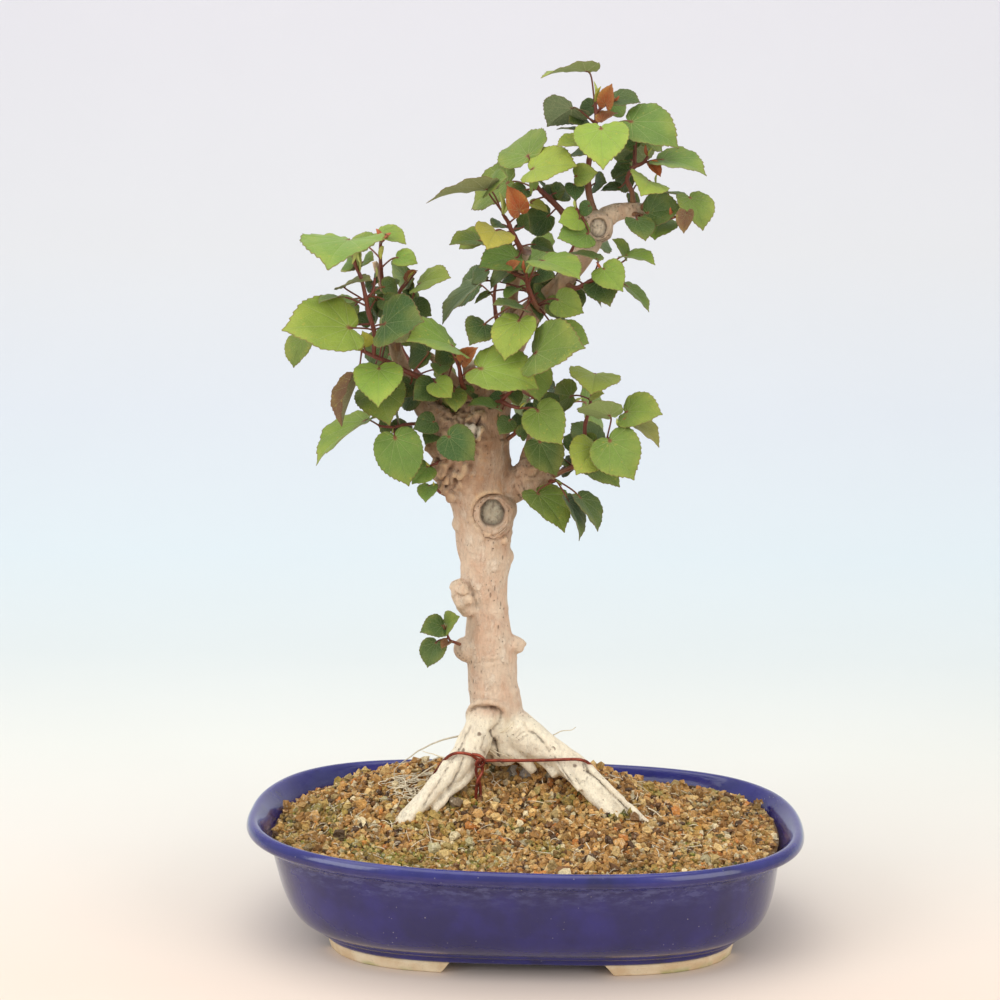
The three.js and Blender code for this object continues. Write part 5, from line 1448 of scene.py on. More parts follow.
    def scar(self, row: Sequence[float], seed: int) -> Form:
        """A healed wound: folded rolls of bark round a sunken disc of cracked grey wood, with painted shade in its
        groove, cracks and fold troughs.

        Each ring of points lies at a share of the radius and a height in front of the wound. The
        bark rolls reach less far up than down, with ripples below, and the disc is a little taller
        than wide. All is shaken by noise.

        Args:
            row: Grid place, near and radius of the wound, its reach upwards and downwards as
                shares of the radius, and how grey its wood is.
            seed: Chooses the noise.

        Returns:
            The wound as one closed form.
        """
        across, down, near, radius, above, below, grey = row
        share, height, hollow_shade, wood = smooth_run(self.scar_profile, 4).T[:, :, None]
        angle = np.arange(96)[None] / 96 * TURN
        rolls = ease(0.55, 0.85, share)
        low = np.clip(-np.sin(angle), 0, 1) ** 1.5
        tall = np.where(np.sin(angle) > 0, above, below)
        tall = 1.12 + rolls * (tall - 1.12)
        flat = np.stack([np.cos(angle) * share, np.sin(angle) * share, 0 * angle * share], -1) * radius
        swell = 1 + 0.1 * grain(flat, 5.5, seed, 2) * (share > 0.2)
        ripple = np.sin((share - 0.62) / 0.13 * TURN + 2 * grain(flat, 5, seed + 6)) * rolls * (0.25 + 0.75 * low)
        rays = np.sin(5 * angle + 6 * grain(flat, 3.5, seed + 2)) * ease(0.6, 0.2, share) * share
        lift = height * (1 + 0.3 * grain(flat, 4, seed + 1)) * radius / 12 + 0.7 * ripple + 0.7 * rays
        lift = lift + 0.35 * grain(flat, 1.5, seed + 3)
        centre = seen(across, down, near)
        points = (centre + (swell * share * radius * np.cos(angle))[..., None] * RIGHT
                  + (swell * share * radius * tall * np.sin(angle))[..., None] * UP - lift[..., None] * AHEAD)
        # painted shade: the groove, the cracks of the wood and the fold troughs darken the finish through the first
        # trait
        crack = 0.6 * ease(0.15, 0.8, 0.5 * rays + 1.1 * grain(flat, 1.5, seed + 4, 2)) * wood
        fold = ease(-0.55, -0.95, ripple) * 0.7
        traits = np.stack([np.minimum(hollow_shade * 0.8 + crack + fold, 1), grey * wood + 0 * angle,
                           (1 - grey) * wood * 0.7 + 0 * angle], -1)
        form = Form()
        form.add_rings(points, trait=traits, tint=(0, 0, 0))
        return form

    def build(self) -> None:
        """Makes the bark and both scars in place of the CAD trunk."""
        finish = BarkFinish()
        settle("trunk_bark", self.bark(), finish, ["trunk"])
        for number, (name, row) in enumerate(self.scars):
            self.scar(row, 3 * number).piece(name, finish, "bark", ["trunk"])


@dataclass
class TieWire:
    """Wire that holds the root base: out of the soil, over both roots and down, with twisted tails."""

    radius: float = 0.95
    run: Rows = (
        (433, 800, 2), (432, 786, 6), (434, 775, 12), (441, 764, 18), (449, 756, 24), (458, 753, 28),
        (470, 754.5, 29), (480, 760, 26), (500, 760.5, 23.5), (530, 760.5, 22.5), (551, 760, 24), (566, 759.5, 26),
        (578, 759.5, 26), (587, 762, 22), (594, 769, 12), (600, 779, 5), (603, 794, 2), (604, 812, 0),
    )
    tails: tuple[Rows, ...] = (
        ((481, 759, 26), (476, 770, 26), (480, 786, 24), (481, 812, 22)),
        ((480, 760, 26), (482.5, 771, 25), (477, 784, 26), (475, 812, 22)),
    )
    loop: Rows = (
        (472, 754.2, 29.5), (479, 755.6, 29), (484, 759.5, 28), (483.5, 764, 27), (479, 767, 27.5),
        (476, 764.5, 28.5), (478, 760, 29),
    )

    def build(self) -> None:
        """Makes the wire in place of its CAD node: each run is a round profile along a smooth line."""
        form = Form()
        for rows in (self.run, *self.tails, self.loop):
            line = smooth_run(rows, 8)
            form.add_rings(carried(seen(*line.T), self.radius, 12))
        form.piece("tie_wire_fine", WireFinish(), "wire", ["tie_wire"])


@dataclass
class HairRoots:
    """Thin pale roots about the root base, and white fibres strewn over the soil.

    Stations are (steps across, steps down, near), or near None for a station on the soil. The nest
    is an oval's middle and half sizes in grid steps. Fibres are strewn round a middle over a length
    and a width in millimetres.
    """

    soil: SoilBed
    hanging: tuple[tuple[tuple[float, float, float | None], ...], ...] = (
        ((461, 736, 12), (440, 741, 14), (420, 750, 15), (406, 760, 12), (395, 770, 8), (393, 776, None),
         (396, 784, None)),
        ((458, 760, 14), (442, 757, 16), (432, 754, 14), (422, 751, 10)),
        ((440, 757, 12), (428, 762, 8), (414, 768, None), (399, 772, None), (387, 770, None)),
        ((450, 770, 14), (436, 772, None), (420, 776, None), (404, 778, None), (388, 786, None)),
        ((446, 776, 18), (430, 786, None), (414, 790, None), (398, 786, None), (386, 792, None)),
        ((440, 784, 22), (424, 792, None), (408, 798, None), (396, 797, None)),
        ((436, 765, 6), (420, 770, None), (408, 783, None), (402, 795, None)),
        ((430, 790, None), (420, 782, None), (409, 777, None), (396, 781, None), (391, 775, None)),
        ((546, 739, 6), (554, 735, 8), (562, 731, 9), (571, 730, 10), (576, 727, 10)),
        ((484, 747, 14), (493, 750, 16), (501, 754, 16), (511, 758, 15), (522, 764, 13)),
        ((489, 750, 12), (496, 756, 12), (505, 760, 12), (512, 767, None)),
        ((404, 808, None), (399, 815, None), (396, 822, None), (389, 824, None)),
        ((426, 822, None), (429, 830, None), (430, 838, None), (433, 846, None)),
        ((648, 808, None), (656, 812, None), (661, 817, None), (666, 815, None)),
        ((586, 843, None), (590, 850, None), (589, 857, None)),
        ((652, 846, None), (658, 851, None), (659, 857, None)),
        ((500, 733, 16), (508, 728, 17), (514, 722, 15)),
    )
    fibres: int = 260
    tangle: int = 110
    nest: tuple[float, float, float, float] = (417.0, 782.0, 33.0, 17.0)
    strewn: tuple[float, float, float] = (-20.0, 300.0, 195.0)
    cream: int = 0xE0D2B4

    def curls(self) -> list[list[tuple[float, float, None]]]:
        """Stations of the rootlets that lie tangled on the soil beside the left root.

        Each starts at a repeatable place in the nest, and each step turns a little from the last.
        """
        middle_x, middle_y, half_x, half_y = self.nest
        rows = []
        for k in range(self.tangle):
            reach, turn = math.sqrt(chance(k * 1.7 + 3)), TURN * float(chance(k * 2.9 + 1))
            across, down = middle_x + half_x * reach * math.cos(turn), middle_y + half_y * reach * math.sin(turn)
            heading = math.pi * float(chance(k * 4.1)) * 2
            row = []
            for step in range(5):
                row.append((across, down, None))
                heading += 1.9 * (float(chance(k * 5.3 + step)) - 0.5)
                across += 5.5 * math.cos(heading)
                down += 2.4 * math.sin(heading)
            rows.append(row)
        return rows

    def line(self, rows: Sequence[Sequence[float | None]]) -> np.ndarray:
        """Points of a hanging root, with its stations on the soil laid on top of the granules."""
        points = np.array([
            self.soil.resting(across, down, 2.4) if near is None else seen(across, down, near)
            for across, down, near in rows
        ])
        points = points[self.soil.edge(points[:, 0], points[:, 1]) < 0.93]
        if len(points) < 2:
            return points
        return shaken(smooth_run(points, 6), 5, 0.35)

    def build(self) -> None:
        """Makes the hanging and tangled roots and the strewn fibres."""
        form, cream = Form(), colours(self.cream)[0]
        self.add_roots(form, cream)
        self.add_fibres(form, cream)
        form.piece("hair_roots", FibreFinish("rootlets", 0.75), "bark")

    def add_roots(self, form: Form, cream: np.ndarray) -> None:
        """Adds the hanging roots and the tangled rootlets, each thinner towards its end."""
        for number, rows in enumerate([*self.hanging, *self.curls()]):
            line = self.line(rows)
            if len(line) < 7:
                continue
            line[:, 2] += 1.6 * float(chance(number * 3.3)) * (number >= len(self.hanging))
            thick = 0.6 if number < 3 else 0.45 if number < len(self.hanging) else 0.34
            radius = np.linspace(thick, 0.2, len(line))
            form.add_rings(carried(line, radius, 5), tint=cream * (0.7 + 0.4 * chance(number)))

    def add_fibres(self, form: Form, cream: np.ndarray) -> None:
        """Adds short bent fibres strewn over the soil, each highest at its middle."""
        number = np.arange(self.fibres)
        middle, along, across = self.strewn
        x = middle + along * (chance(number * 1.3) - 0.5)
        y = across * (chance(number * 2.1 + 4) - 0.5)
        heading = chance(number * 3.7) * TURN
        bend = (chance(number * 4.9) - 0.5) * 3
        share = np.linspace(0, 1, 9)
        length = 5 + 10 * chance(number * 5.3)
        for k in number:
            turn = heading[k] + bend[k] * share
            steps = np.stack([np.cos(turn), np.sin(turn)], -1) * length[k] / len(share)
            flat = np.array([x[k], y[k]]) + np.cumsum(steps, 0)
            if self.soil.edge(flat[:, 0], flat[:, 1]).max() > 0.96:
                continue
            height = self.soil.height(flat[:, 0], flat[:, 1]) + 1.9 + 1.3 * np.sin(math.pi * share) * chance(k * 1.9)
            tint = cream * (0.7 + 0.45 * chance(k * 7.1))
            form.add_rings(carried(np.column_stack([flat, height]), np.linspace(0.3, 0.16, len(share)), 4), tint=tint)


# Leafy shoots

class Tone(Enum):
    """Leaf tones: colour of the upper side, and how flecked it is. The light and dark greens are partly the leaves'
    own colour and partly painted light and shade; the grey is a painted bluish sheen.
    """

    # partly the leaf's own light green, partly painted light on lit leaves
    LIGHT = (0x889F3E, 0.6)
    YELLOW = (0xA5A23F, 1.0)
    MID = (0x6B8436, 0.4)
    # partly the leaf's own dark green, partly painted shade on leaves inside the crown
    DARK = (0x455F2A, 0.2)
    # a painted bluish sheen on the leaf
    SHEEN_GREY = (0x6B7D4D, 0.0)
    OLIVE = (0x8A8842, 0.4)
    PALE = (0xA8B15C, 0.0)
    RUSSET = (0xA2562E, 0.6)
    BROWN = (0x7A5238, 0.6)


L, Y, M, D, G = Tone.LIGHT, Tone.YELLOW, Tone.MID, Tone.DARK, Tone.SHEEN_GREY
O, P, R, B = Tone.OLIVE, Tone.PALE, Tone.RUSSET, Tone.BROWN

LeafRow = tuple[float, float, float, float, float, float, float, float, float, Tone]
BudRow = tuple[float, float, float, float, float, float, float, Tone]


@dataclass(frozen=True)
class ShootPlan:
    """One leafy shoot.

    Stems hold stations (steps across, steps down, near, radius). A leaf row holds the places of
    the blade's foot and tip, its length (below zero: the tip leans away), near, the turn of its
    face (0 to the front, 90 to the sky, 180 shows the underside), where its stalk leaves the stem,
    and its tone. `hidden` more leaves stand behind the stem.
    """

    name: str
    stems: tuple[Rows, ...]
    leaves: tuple[LeafRow, ...]
    hidden: int = 0


SHOOTS: tuple[ShootPlan, ...] = (
    ShootPlan("spray_left", (
        ((464, 398, 2, 2.6), (445, 383, 11, 2.4), (430, 380, 14, 2.2), (410, 373, 18, 2),
         (395, 365, 20, 1.8), (382, 359, 22, 1.7), (372, 355, 22, 1.6), (362, 350, 22, 1.4),
         (356, 343, 22, 1.1)),
        ((374, 356, 22, 1.6), (374, 333, 24, 1.8), (368, 310, 26, 1.7), (366, 298, 27, 1.6),
         (361, 278, 28, 1.4), (356, 266, 29, 1.3), (352, 249, 30, 1.1)),
        ((366, 299, 27, 1.1), (373, 291, 26, 1.1), (375, 278, 24, 0.9)),
    ), (
        (379, 369, 378, 406, 29, 34, 5, 386, 361, L),
        (383, 345, 364, 358, -18, 8, 20, 382, 359, D),
        (357, 382, 344, 428, 29, 26, 70, 362, 350, B),
        (379, 389, 389, 424, 31, 24, 0, 388, 362, M),
        (387, 331, 410, 329, 20, 28, 150, 380, 358, O),
        (428, 352, 407, 360, -20, 2, 30, 412, 374, D),
        (433, 386, 413, 400, 19, 22, 10, 432, 380, D),
        (410, 384, 394, 397, 15, 12, 10, 412, 374, D),
        (416, 392, 398, 404, -17, 2, 20, 420, 377, D),
        (436, 383, 452, 398, 16, 26, 15, 441, 381, L),
        (440, 366, 438, 375, 12, 22, 0, 446, 382, M),
        (452, 352, 434, 361, -15, -10, 20, 447, 383, D),
        (385, 324, 424, 321, 32, 18, 30, 372, 326, D),
        (349, 240, 327, 266, 47, 30, 42, 352, 250, L),
        (354, 268, 340, 270, -10, 22, 60, 357, 269, P),
        (345, 286, 372, 280, 20, 24, 80, 364, 303, O),
        (338, 297, 318, 303, 16, 30, 75, 366, 307, M),
        (349, 328, 281, 329, 42, 36, 42, 371, 330, L),
        (303, 338, 293, 368, 20, 18, 40, 370, 325, M),
        (369, 323, 355, 313, -11, 14, 30, 371, 320, D),
        (372, 284, 366, 290, -8, 16, 30, 375, 280, D),
        (376, 302, 373, 325, -16, 10, 60, 368, 312, D),
        (364, 346, 363, 331, 11, 30, 30, 366, 352, Y),
        (358, 266, 361, 250, 11, 26, 60, 357, 268, P),
    )),
    ShootPlan("spray_left_back", (
        ((387, 302, -5, 2.1), (383, 285, -2, 1.8), (381, 268, 1, 1.5), (380, 250, 3, 1.3),
         (381, 240, 3, 1.1)),
    ), (
        (381, 233, 407, 243, 17, 3, 55, 381, 241, L),
        (382, 240, 389, 235, 8, 6, 30, 381, 243, B),
        (367, 246, 352, 237, -16, -6, 30, 380, 259, M),
        (398, 258, 418, 263, 13, 10, 35, 381, 268, L),
    )),
    ShootPlan("spray_left_mid", (
        ((398, 352, -6, 2.3), (398, 325, -2, 2), (396, 305, 0, 1.8), (400, 291, 1, 1.6),
         (407, 282, 2, 1.3), (416, 271, 3, 1.1)),
        ((398, 322, -2, 1.5), (406, 308, 2, 1.3), (411, 302, 4, 1.1)),
    ), (
        (420, 284, 451, 277, 23, 10, 60, 411, 302, L),
        (393, 284, 385, 280, -10, -10, 60, 397, 298, D),
        (412, 299, 406, 288, -10, -6, 30, 408, 306, D),
        (413, 306, 432, 316, 14, 4, 20, 411, 303, D),
        (407, 281, 418, 270, 10, 6, 60, 408, 281, R),
    ), 1),
    ShootPlan("spray_left_low", (
        ((438, 424, 8, 1.8), (420, 424, 16, 1.4), (404, 425, 18, 1.2), (394, 427, 18, 1.1),
         (380, 426, 18, 0.9)),
    ), (
        (395, 438, 409, 487, 31, 26, 0, 394, 428, M),
        (365, 421, 313, 463, 42, 12, 73, 380, 426, L),
        (390, 423, 379, 432, -10, 8, 20, 388, 427, D),
        (433, 422, 413, 429, 15, 22, 10, 426, 424, D),
        (434, 434, 425, 444, 12, 16, 20, 428, 424, D),
    )),
    ShootPlan("spray_crevice", (
        ((448, 458, 12, 1.3), (437, 463, 18, 1.1), (430, 466, 17, 0.9)),
    ), (
        (427, 467, 412, 484, 17, 14, 5, 430, 466, M),
    )),
    ShootPlan("spray_side", (
        ((449, 496, 8, 1.3), (440, 492, 13, 1.2), (434, 487, 15, 1)),
    ), (
        (429, 486, 425, 502, 14, 15, 20, 437, 489, M),
    )),
    ShootPlan("spray_bark", (
        ((442, 442, 8, 1.4), (443, 439, 22, 1.1), (447, 437, 29, 1)),
    ), (
        (449, 437, 475, 461, 22, 31, 10, 446, 438, D),
    )),
    ShootPlan("spray_front", (
        ((476, 404, 4, 2.3), (466, 391, 14, 2), (461, 380, 21, 1.8), (459, 368, 26, 1.5),
         (455, 358, 30, 1.3), (452, 350, 32, 1.1)),
    ), (
        (452, 346, 407, 338, 36, 38, 60, 452, 351, L),
        (481, 369, 540, 387, 37, 42, 45, 462, 377, L),
        (463, 361, 478, 347, 13, 34, 20, 459, 368, R),
        (478, 371, 476, 385, -9, 14, 30, 462, 382, P),
        (458, 352, 466, 362, 10, 26, 30, 457, 362, P),
        (454, 392, 456, 412, 15, 26, 10, 466, 390, M),
        (470, 392, 453, 388, -11, 18, 65, 468, 394, M),
    )),
    ShootPlan("spray_centre", (
        ((487, 404, 6, 2.1), (500, 402, 19, 1.8), (510, 406, 25, 1.5), (520, 408, 29, 1.2)),
        ((500, 402, 19, 1.6), (511, 391, 24, 1.4), (522, 376, 30, 1.2), (530, 364, 35, 1)),
    ), (
        (536, 353, 585, 347, 39, 46, 36, 530, 364, M),
        (538, 411, 562, 445, 27, 38, 0, 520, 408, M),
        (541, 409, 560, 394, -15, 22, 20, 514, 407, D),
        (531, 366, 540, 402, 24, 26, 20, 524, 374, M),
        (513, 392, 519, 406, 10, 18, 20, 509, 393, D),
        (496, 408, 467, 404, 18, 24, 70, 496, 403, M),
    )),
    ShootPlan("spray_twig", (
        ((505, 441, 6, 1.8), (517, 432, 10, 1.5), (526, 426, 13, 1.2)),
    ), (
        (518, 430, 517, 412, -12, 8, 30, 519, 431, D),
        (509, 421, 499, 435, 12, 26, 5, 516, 433, D),
        (540, 442, 557, 477, 25, 26, 5, 526, 426, D),
        (521, 436, 528, 424, 9, 18, 30, 523, 428, D),
    )),
    ShootPlan("spray_right", (
        ((548, 478, 5, 2.3), (562, 471, 13, 2), (574, 465, 18, 1.8), (584, 446, 23, 1.7),
         (585, 426, 26, 1.5), (589, 410, 28, 1.3), (591, 396, 28, 1.1)),
        ((584, 446, 23, 1.4), (596, 443, 32, 1.3), (607, 440, 38, 1.2), (614, 433, 40, 1),
         (620, 427, 40, 0.9)),
    ), (
        (595, 374, 591, 394, 31, 30, 0, 591, 396, L),
        (609, 415, 577, 407, 24, 40, 115, 607, 440, L),
        (627, 412, 663, 414, 25, 38, 35, 620, 427, M),
        (630, 421, 661, 446, 25, 34, 65, 620, 427, O),
        (610, 441, 634, 480, 30, 46, 0, 607, 440, M),
        (594, 444, 571, 422, -21, 14, 30, 590, 445, G),
        (595, 447, 576, 475, 27, 36, 5, 588, 445, L),
        (580, 446, 563, 436, -14, 2, 20, 582, 450, D),
        (591, 468, 621, 486, 22, 14, 45, 576, 462, M),
        (592, 395, 604, 393, 9, 34, 30, 591, 397, P),
    ), 1),
    ShootPlan("spray_right_low", (
        ((546, 480, 6, 1.9), (552, 481, 13, 1.5), (556, 480, 17, 1.2)),
    ), (
        (538, 494, 566, 531, 33, 10, 40, 554, 480, M),
        (568, 501, 582, 541, 26, 20, 72, 556, 480, D),
        (580, 498, 600, 531, 24, 25, 62, 556, 480, D),
    )),
    ShootPlan("spray_middle", (
        ((541, 311, 4, 2.5), (534, 302, 13, 2.2), (529, 291, 18, 2), (527, 280, 22, 1.5),
         (526, 273, 24, 1.2)),
    ), (
        (519, 321, 504, 361, 28, 36, 30, 532, 299, L),
        (543, 261, 581, 279, 31, 38, 60, 528, 284, L),
        (537, 274, 546, 295, -17, 10, 5, 529, 286, D),
        (558, 300, 584, 313, 19, 26, 10, 536, 305, M),
        (549, 304, 565, 313, -12, 12, 20, 538, 307, D),
        (522, 309, 492, 304, 20, 4, 75, 530, 294, D),
        (508, 270, 489, 289, -16, 12, 60, 527, 284, G),
        (509, 269, 521, 261, 9, 26, 30, 527, 280, R),
        (478, 284, 441, 324, 34, 10, 75, 528, 290, G),
        (488, 294, 474, 304, 10, 8, 70, 529, 291, M),
        (486, 271, 471, 284, -13, 4, 50, 526, 276, G),
        (484, 325, 470, 344, 22, 22, 10, 531, 297, D),
        (562, 332, 590, 343, -18, 26, 40, 538, 308, M),
    )),
    ShootPlan("spray_upper", (
        ((529, 252, -4, 2.4), (523, 251, 5, 2.2), (517, 242, 11, 2), (511, 230, 17, 1.8),
         (508, 222, 20, 1.5), (503, 214, 24, 1.1)),
    ), (
        (486, 189, 425, 202, 38, 24, 100, 504, 215, O),
        (489, 188, 508, 176, 18, 24, 60, 504, 216, M),
        (519, 211, 507, 185, 17, 26, 10, 509, 224, R),
        (496, 231, 487, 249, 25, 32, 5, 515, 238, Y),
        (478, 241, 449, 243, 19, 10, 60, 512, 232, M),
        (480, 236, 458, 249, -14, 2, 40, 513, 234, M),
        (516, 258, 478, 267, 26, 16, 45, 521, 249, M),
        (507, 247, 497, 238, -9, 2, 20, 518, 244, D),
        (524, 226, 527, 212, 10, 14, 30, 511, 230, D),
    )),
    ShootPlan("spray_upper_left", (
        ((586, 240, 2, 3.2), (567, 217, 2, 2.6), (550, 199, 4, 2.2), (540, 190, 6, 1.8),
         (534, 182, 8, 1.4)),
    ), (
        (528, 156, 516, 139, -32, 8, 0, 534, 181, M),
        (533, 169, 578, 165, 30, 18, 50, 535, 183, L),
        (508, 183, 469, 209, -31, -6, 55, 541, 191, M),
        (551, 197, 558, 183, -13, -2, 20, 549, 199, D),
        (532, 204, 549, 212, 11, 14, 60, 546, 196, Y),
        (548, 216, 526, 231, -18, -6, 20, 557, 206, D),
        (533, 189, 530, 172, 11, 16, 60, 537, 186, L),
    )),
    ShootPlan("spray_knot", (
        ((587, 229, 12, 2), (580, 214, 19, 1.6), (576, 208, 21, 1.3)),
    ), (
        (579, 219, 558, 222, 15, 22, 20, 577, 209, L),
        (587, 234, 557, 238, 20, 22, 30, 580, 212, M),
        (589, 206, 579, 214, -9, 14, 20, 581, 212, D),
        (574, 185, 576, 201, 12, 18, 10, 576, 208, D),
    )),
    ShootPlan("spray_top", (
        ((597, 222, 6, 3), (590, 200, 6, 2.7), (588, 184, 6, 2.4), (589, 160, 6, 2), (594, 136, 7, 1.8),
         (596, 118, 8, 1.5), (595, 102, 8, 1.2)),
        ((596, 113, 8, 1.1), (604, 106, 11, 1), (613, 101, 13, 0.9)),
    ), (
        (586, 71, 540, 77, 31, 8, 97, 595, 102, L),
        (606, 105, 612, 83, 14, 14, 20, 604, 106, R),
        (614, 99, 641, 102, 17, 13, 55, 613, 101, D),
        (572, 108, 547, 126, -28, 12, 150, 595, 125, D),
        (602, 121, 618, 113, -14, 12, 60, 596, 120, R),
        (631, 122, 680, 146, 34, 16, 40, 594, 136, M),
        (601, 129, 603, 168, 30, 28, 0, 592, 144, L),
        (585, 142, 556, 146, 19, 18, 65, 591, 150, L),
        (579, 131, 556, 129, -15, 2, 85, 593, 140, D),
        (577, 176, 598, 172, 14, 24, 10, 588, 175, M),
        (586, 153, 568, 156, -14, -2, 70, 589, 158, D),
    )),
    ShootPlan("spray_top_right", (
        ((634, 211, 3, 2.3), (632, 192, 7, 1.9), (627, 179, 9, 1.7), (634, 168, 12, 1.5),
         (643, 163, 15, 1.3), (648, 156, 16, 1)),
    ), (
        (662, 160, 708, 173, 30, 18, 65, 643, 163, M),
        (641, 136, 664, 151, -17, 8, 50, 635, 167, M),
        (634, 144, 628, 172, -26, 0, 170, 633, 169, M),
        (651, 164, 661, 177, 10, 22, 30, 643, 163, R),
        (630, 172, 616, 187, -18, 0, 30, 628, 181, D),
        (634, 146, 624, 131, -11, 6, 20, 634, 167, D),
        (618, 188, 600, 190, -11, 2, 60, 627, 180, D),
    )),
    ShootPlan("spray_right_end", (
        ((641, 211, 5, 2.1), (648, 199, 11, 1.7), (653, 190, 14, 1.4), (656, 183, 16, 1.1)),
    ), (
        (649, 181, 642, 194, 23, 24, 0, 654, 187, L),
        (660, 193, 689, 198, 20, 8, 88, 647, 201, M),
        (648, 213, 683, 209, 23, -4, 30, 645, 205, D),
    )),
    ShootPlan("spray_right_tip", (
        ((628, 212, 4, 2), (645, 217, 15, 1.7), (658, 220, 22, 1.4), (672, 218, 26, 1.1),
         (686, 213, 26, 0.9)),
    ), (
        (690, 198, 704, 230, 24, 20, 35, 686, 213, M),
        (687, 214, 684, 235, 14, 30, 15, 684, 214, B),
        (659, 221, 655, 239, 24, 27, 5, 662, 219, L),
        (637, 220, 646, 241, 18, 8, 30, 640, 215, D),
    )),
    ShootPlan("spray_middle_right", (
        ((566, 284, 6, 2.3), (576, 288, 16, 1.9), (589, 282, 20, 1.7), (601, 274, 24, 1.3)),
    ), (
        (604, 269, 623, 291, 21, 28, 10, 601, 274, L),
        (599, 281, 610, 306, 22, 20, 5, 592, 280, D),
        (627, 287, 650, 312, 21, 12, 70, 600, 275, M),
        (581, 289, 603, 306, 17, 12, 82, 578, 288, D),
        (596, 259, 566, 253, -19, 18, 80, 592, 280, M),
        (626, 255, 613, 238, 13, 18, 60, 601, 274, M),
        (627, 256, 656, 263, 20, 20, 68, 601, 274, L),
    )),
    ShootPlan("spray_back_left", (
        ((452, 402, -2, 2.4), (430, 386, -20, 2), (410, 362, -30, 1.6), (398, 340, -36, 1.2)),
    ), (), 3),
    ShootPlan("spray_back_centre", (
        ((515, 350, -34, 2.4), (500, 330, -42, 1.9), (494, 300, -46, 1.5), (496, 280, -48, 1.2)),
    ), (), 3),
    ShootPlan("spray_back_right", (
        ((500, 377, -18, 2.4), (526, 392, -34, 2), (552, 404, -40, 1.6), (574, 402, -44, 1.2)),
    ), (), 3),
    ShootPlan("spray_back_upper", (
        ((546, 302, -50, 2.4), (560, 272, -48, 1.9), (574, 246, -42, 1.5), (584, 222, -38, 1.2)),
    ), (), 3),
    ShootPlan("sprout_low", (
        ((466, 647, 4, 1.6), (456, 643, 11, 1.2), (450, 640, 14, 1), (446, 631, 15, 0.9)),
    ), (
        (442, 626, 420, 632, 17, 15, 20, 446, 631, D),
        (447, 626, 459, 616, 14, 15, 40, 446, 631, M),
        (436, 643, 427, 668, 18, 16, 20, 449, 638, D),
        (448, 643, 441, 650, 9.6, 18, 30, 451, 641, B),
    )),
)

# Buds and their pointed scales: (steps across, steps down) of the foot and of the tip, near,
# length, width and tone.
BUDS: tuple[BudRow, ...] = (
    (364, 352, 360, 328, 34, 14, 4.2, R), (367, 353, 371, 332, 35, 13, 3.8, Y), (361, 351, 355, 340, 33, 8, 2.6, P),
    (354, 247, 352, 263, 31, 10, 2, P), (357, 248, 360, 261, 31, 9, 1.8, P), (350, 247, 347, 254, 30, 6, 1.6, P),
    (381, 241, 377, 231, 8, 8, 3.8, R), (382, 242, 389, 235, 9, 8, 3.8, R), (383, 246, 381, 258, 9, 8, 3, Y),
    (375, 278, 376, 268, 22, 7, 1.8, P), (408, 281, 413, 273, 7, 7, 2.6, Y), (452, 350, 449, 341, 33, 7, 2, P),
    (460, 367, 464, 352, 27, 9, 2.4, Y), (530, 364, 533, 355, 36, 6, 1.8, P), (526, 426, 530, 419, 14, 6, 1.8, P),
    (591, 396, 589, 386, 30, 7, 2, P), (592, 396, 597, 389, 30, 7, 2, Y), (620, 427, 625, 419, 41, 7, 1.8, R),
    (620, 427, 617, 418, 41, 6, 1.8, P), (526, 273, 524, 262, 25, 8, 2.4, R), (526, 273, 531, 264, 26, 7, 2, P),
    (503, 214, 499, 191, 27, 13, 3.6, P), (503, 214, 509, 194, 27, 12, 3.2, P), (534, 182, 531, 174, 9, 6, 1.8, P),
    (576, 208, 575, 199, 22, 6, 1.8, P), (595, 102, 594, 82, 11, 12, 3.2, P), (596, 101, 601, 86, 12, 9, 2.8, Y),
    (613, 101, 619, 96, 14, 5, 1.8, R), (648, 156, 646, 146, 17, 7, 2.2, R), (648, 156, 652, 149, 17, 6, 1.8, P),
    (656, 183, 657, 175, 17, 6, 1.6, P), (674, 218, 671, 209, 27, 7, 2.2, R), (680, 216, 681, 207, 27, 6, 2, P),
    (601, 274, 597, 264, 25, 8, 2.2, R), (601, 274, 605, 266, 25, 6, 1.8, P), (446, 631, 444, 624, 16, 5, 1.6, B),
    (394, 427, 391, 433, 19, 5, 1.6, P), (556, 480, 560, 484, 18, 5, 1.6, P), (436, 487, 433, 481, 16, 4, 1.4, Y),
    (430, 466, 426, 462, 18, 4, 1.4, Y), (520, 408, 524, 404, 30, 5, 1.6, Y), (584, 222, 586, 214, -38, 6, 1.8, P),
    (496, 280, 495, 271, -48, 6, 1.8, P), (574, 402, 581, 399, -44, 6, 1.8, P), (398, 340, 396, 331, -36, 6, 1.8, P),
)


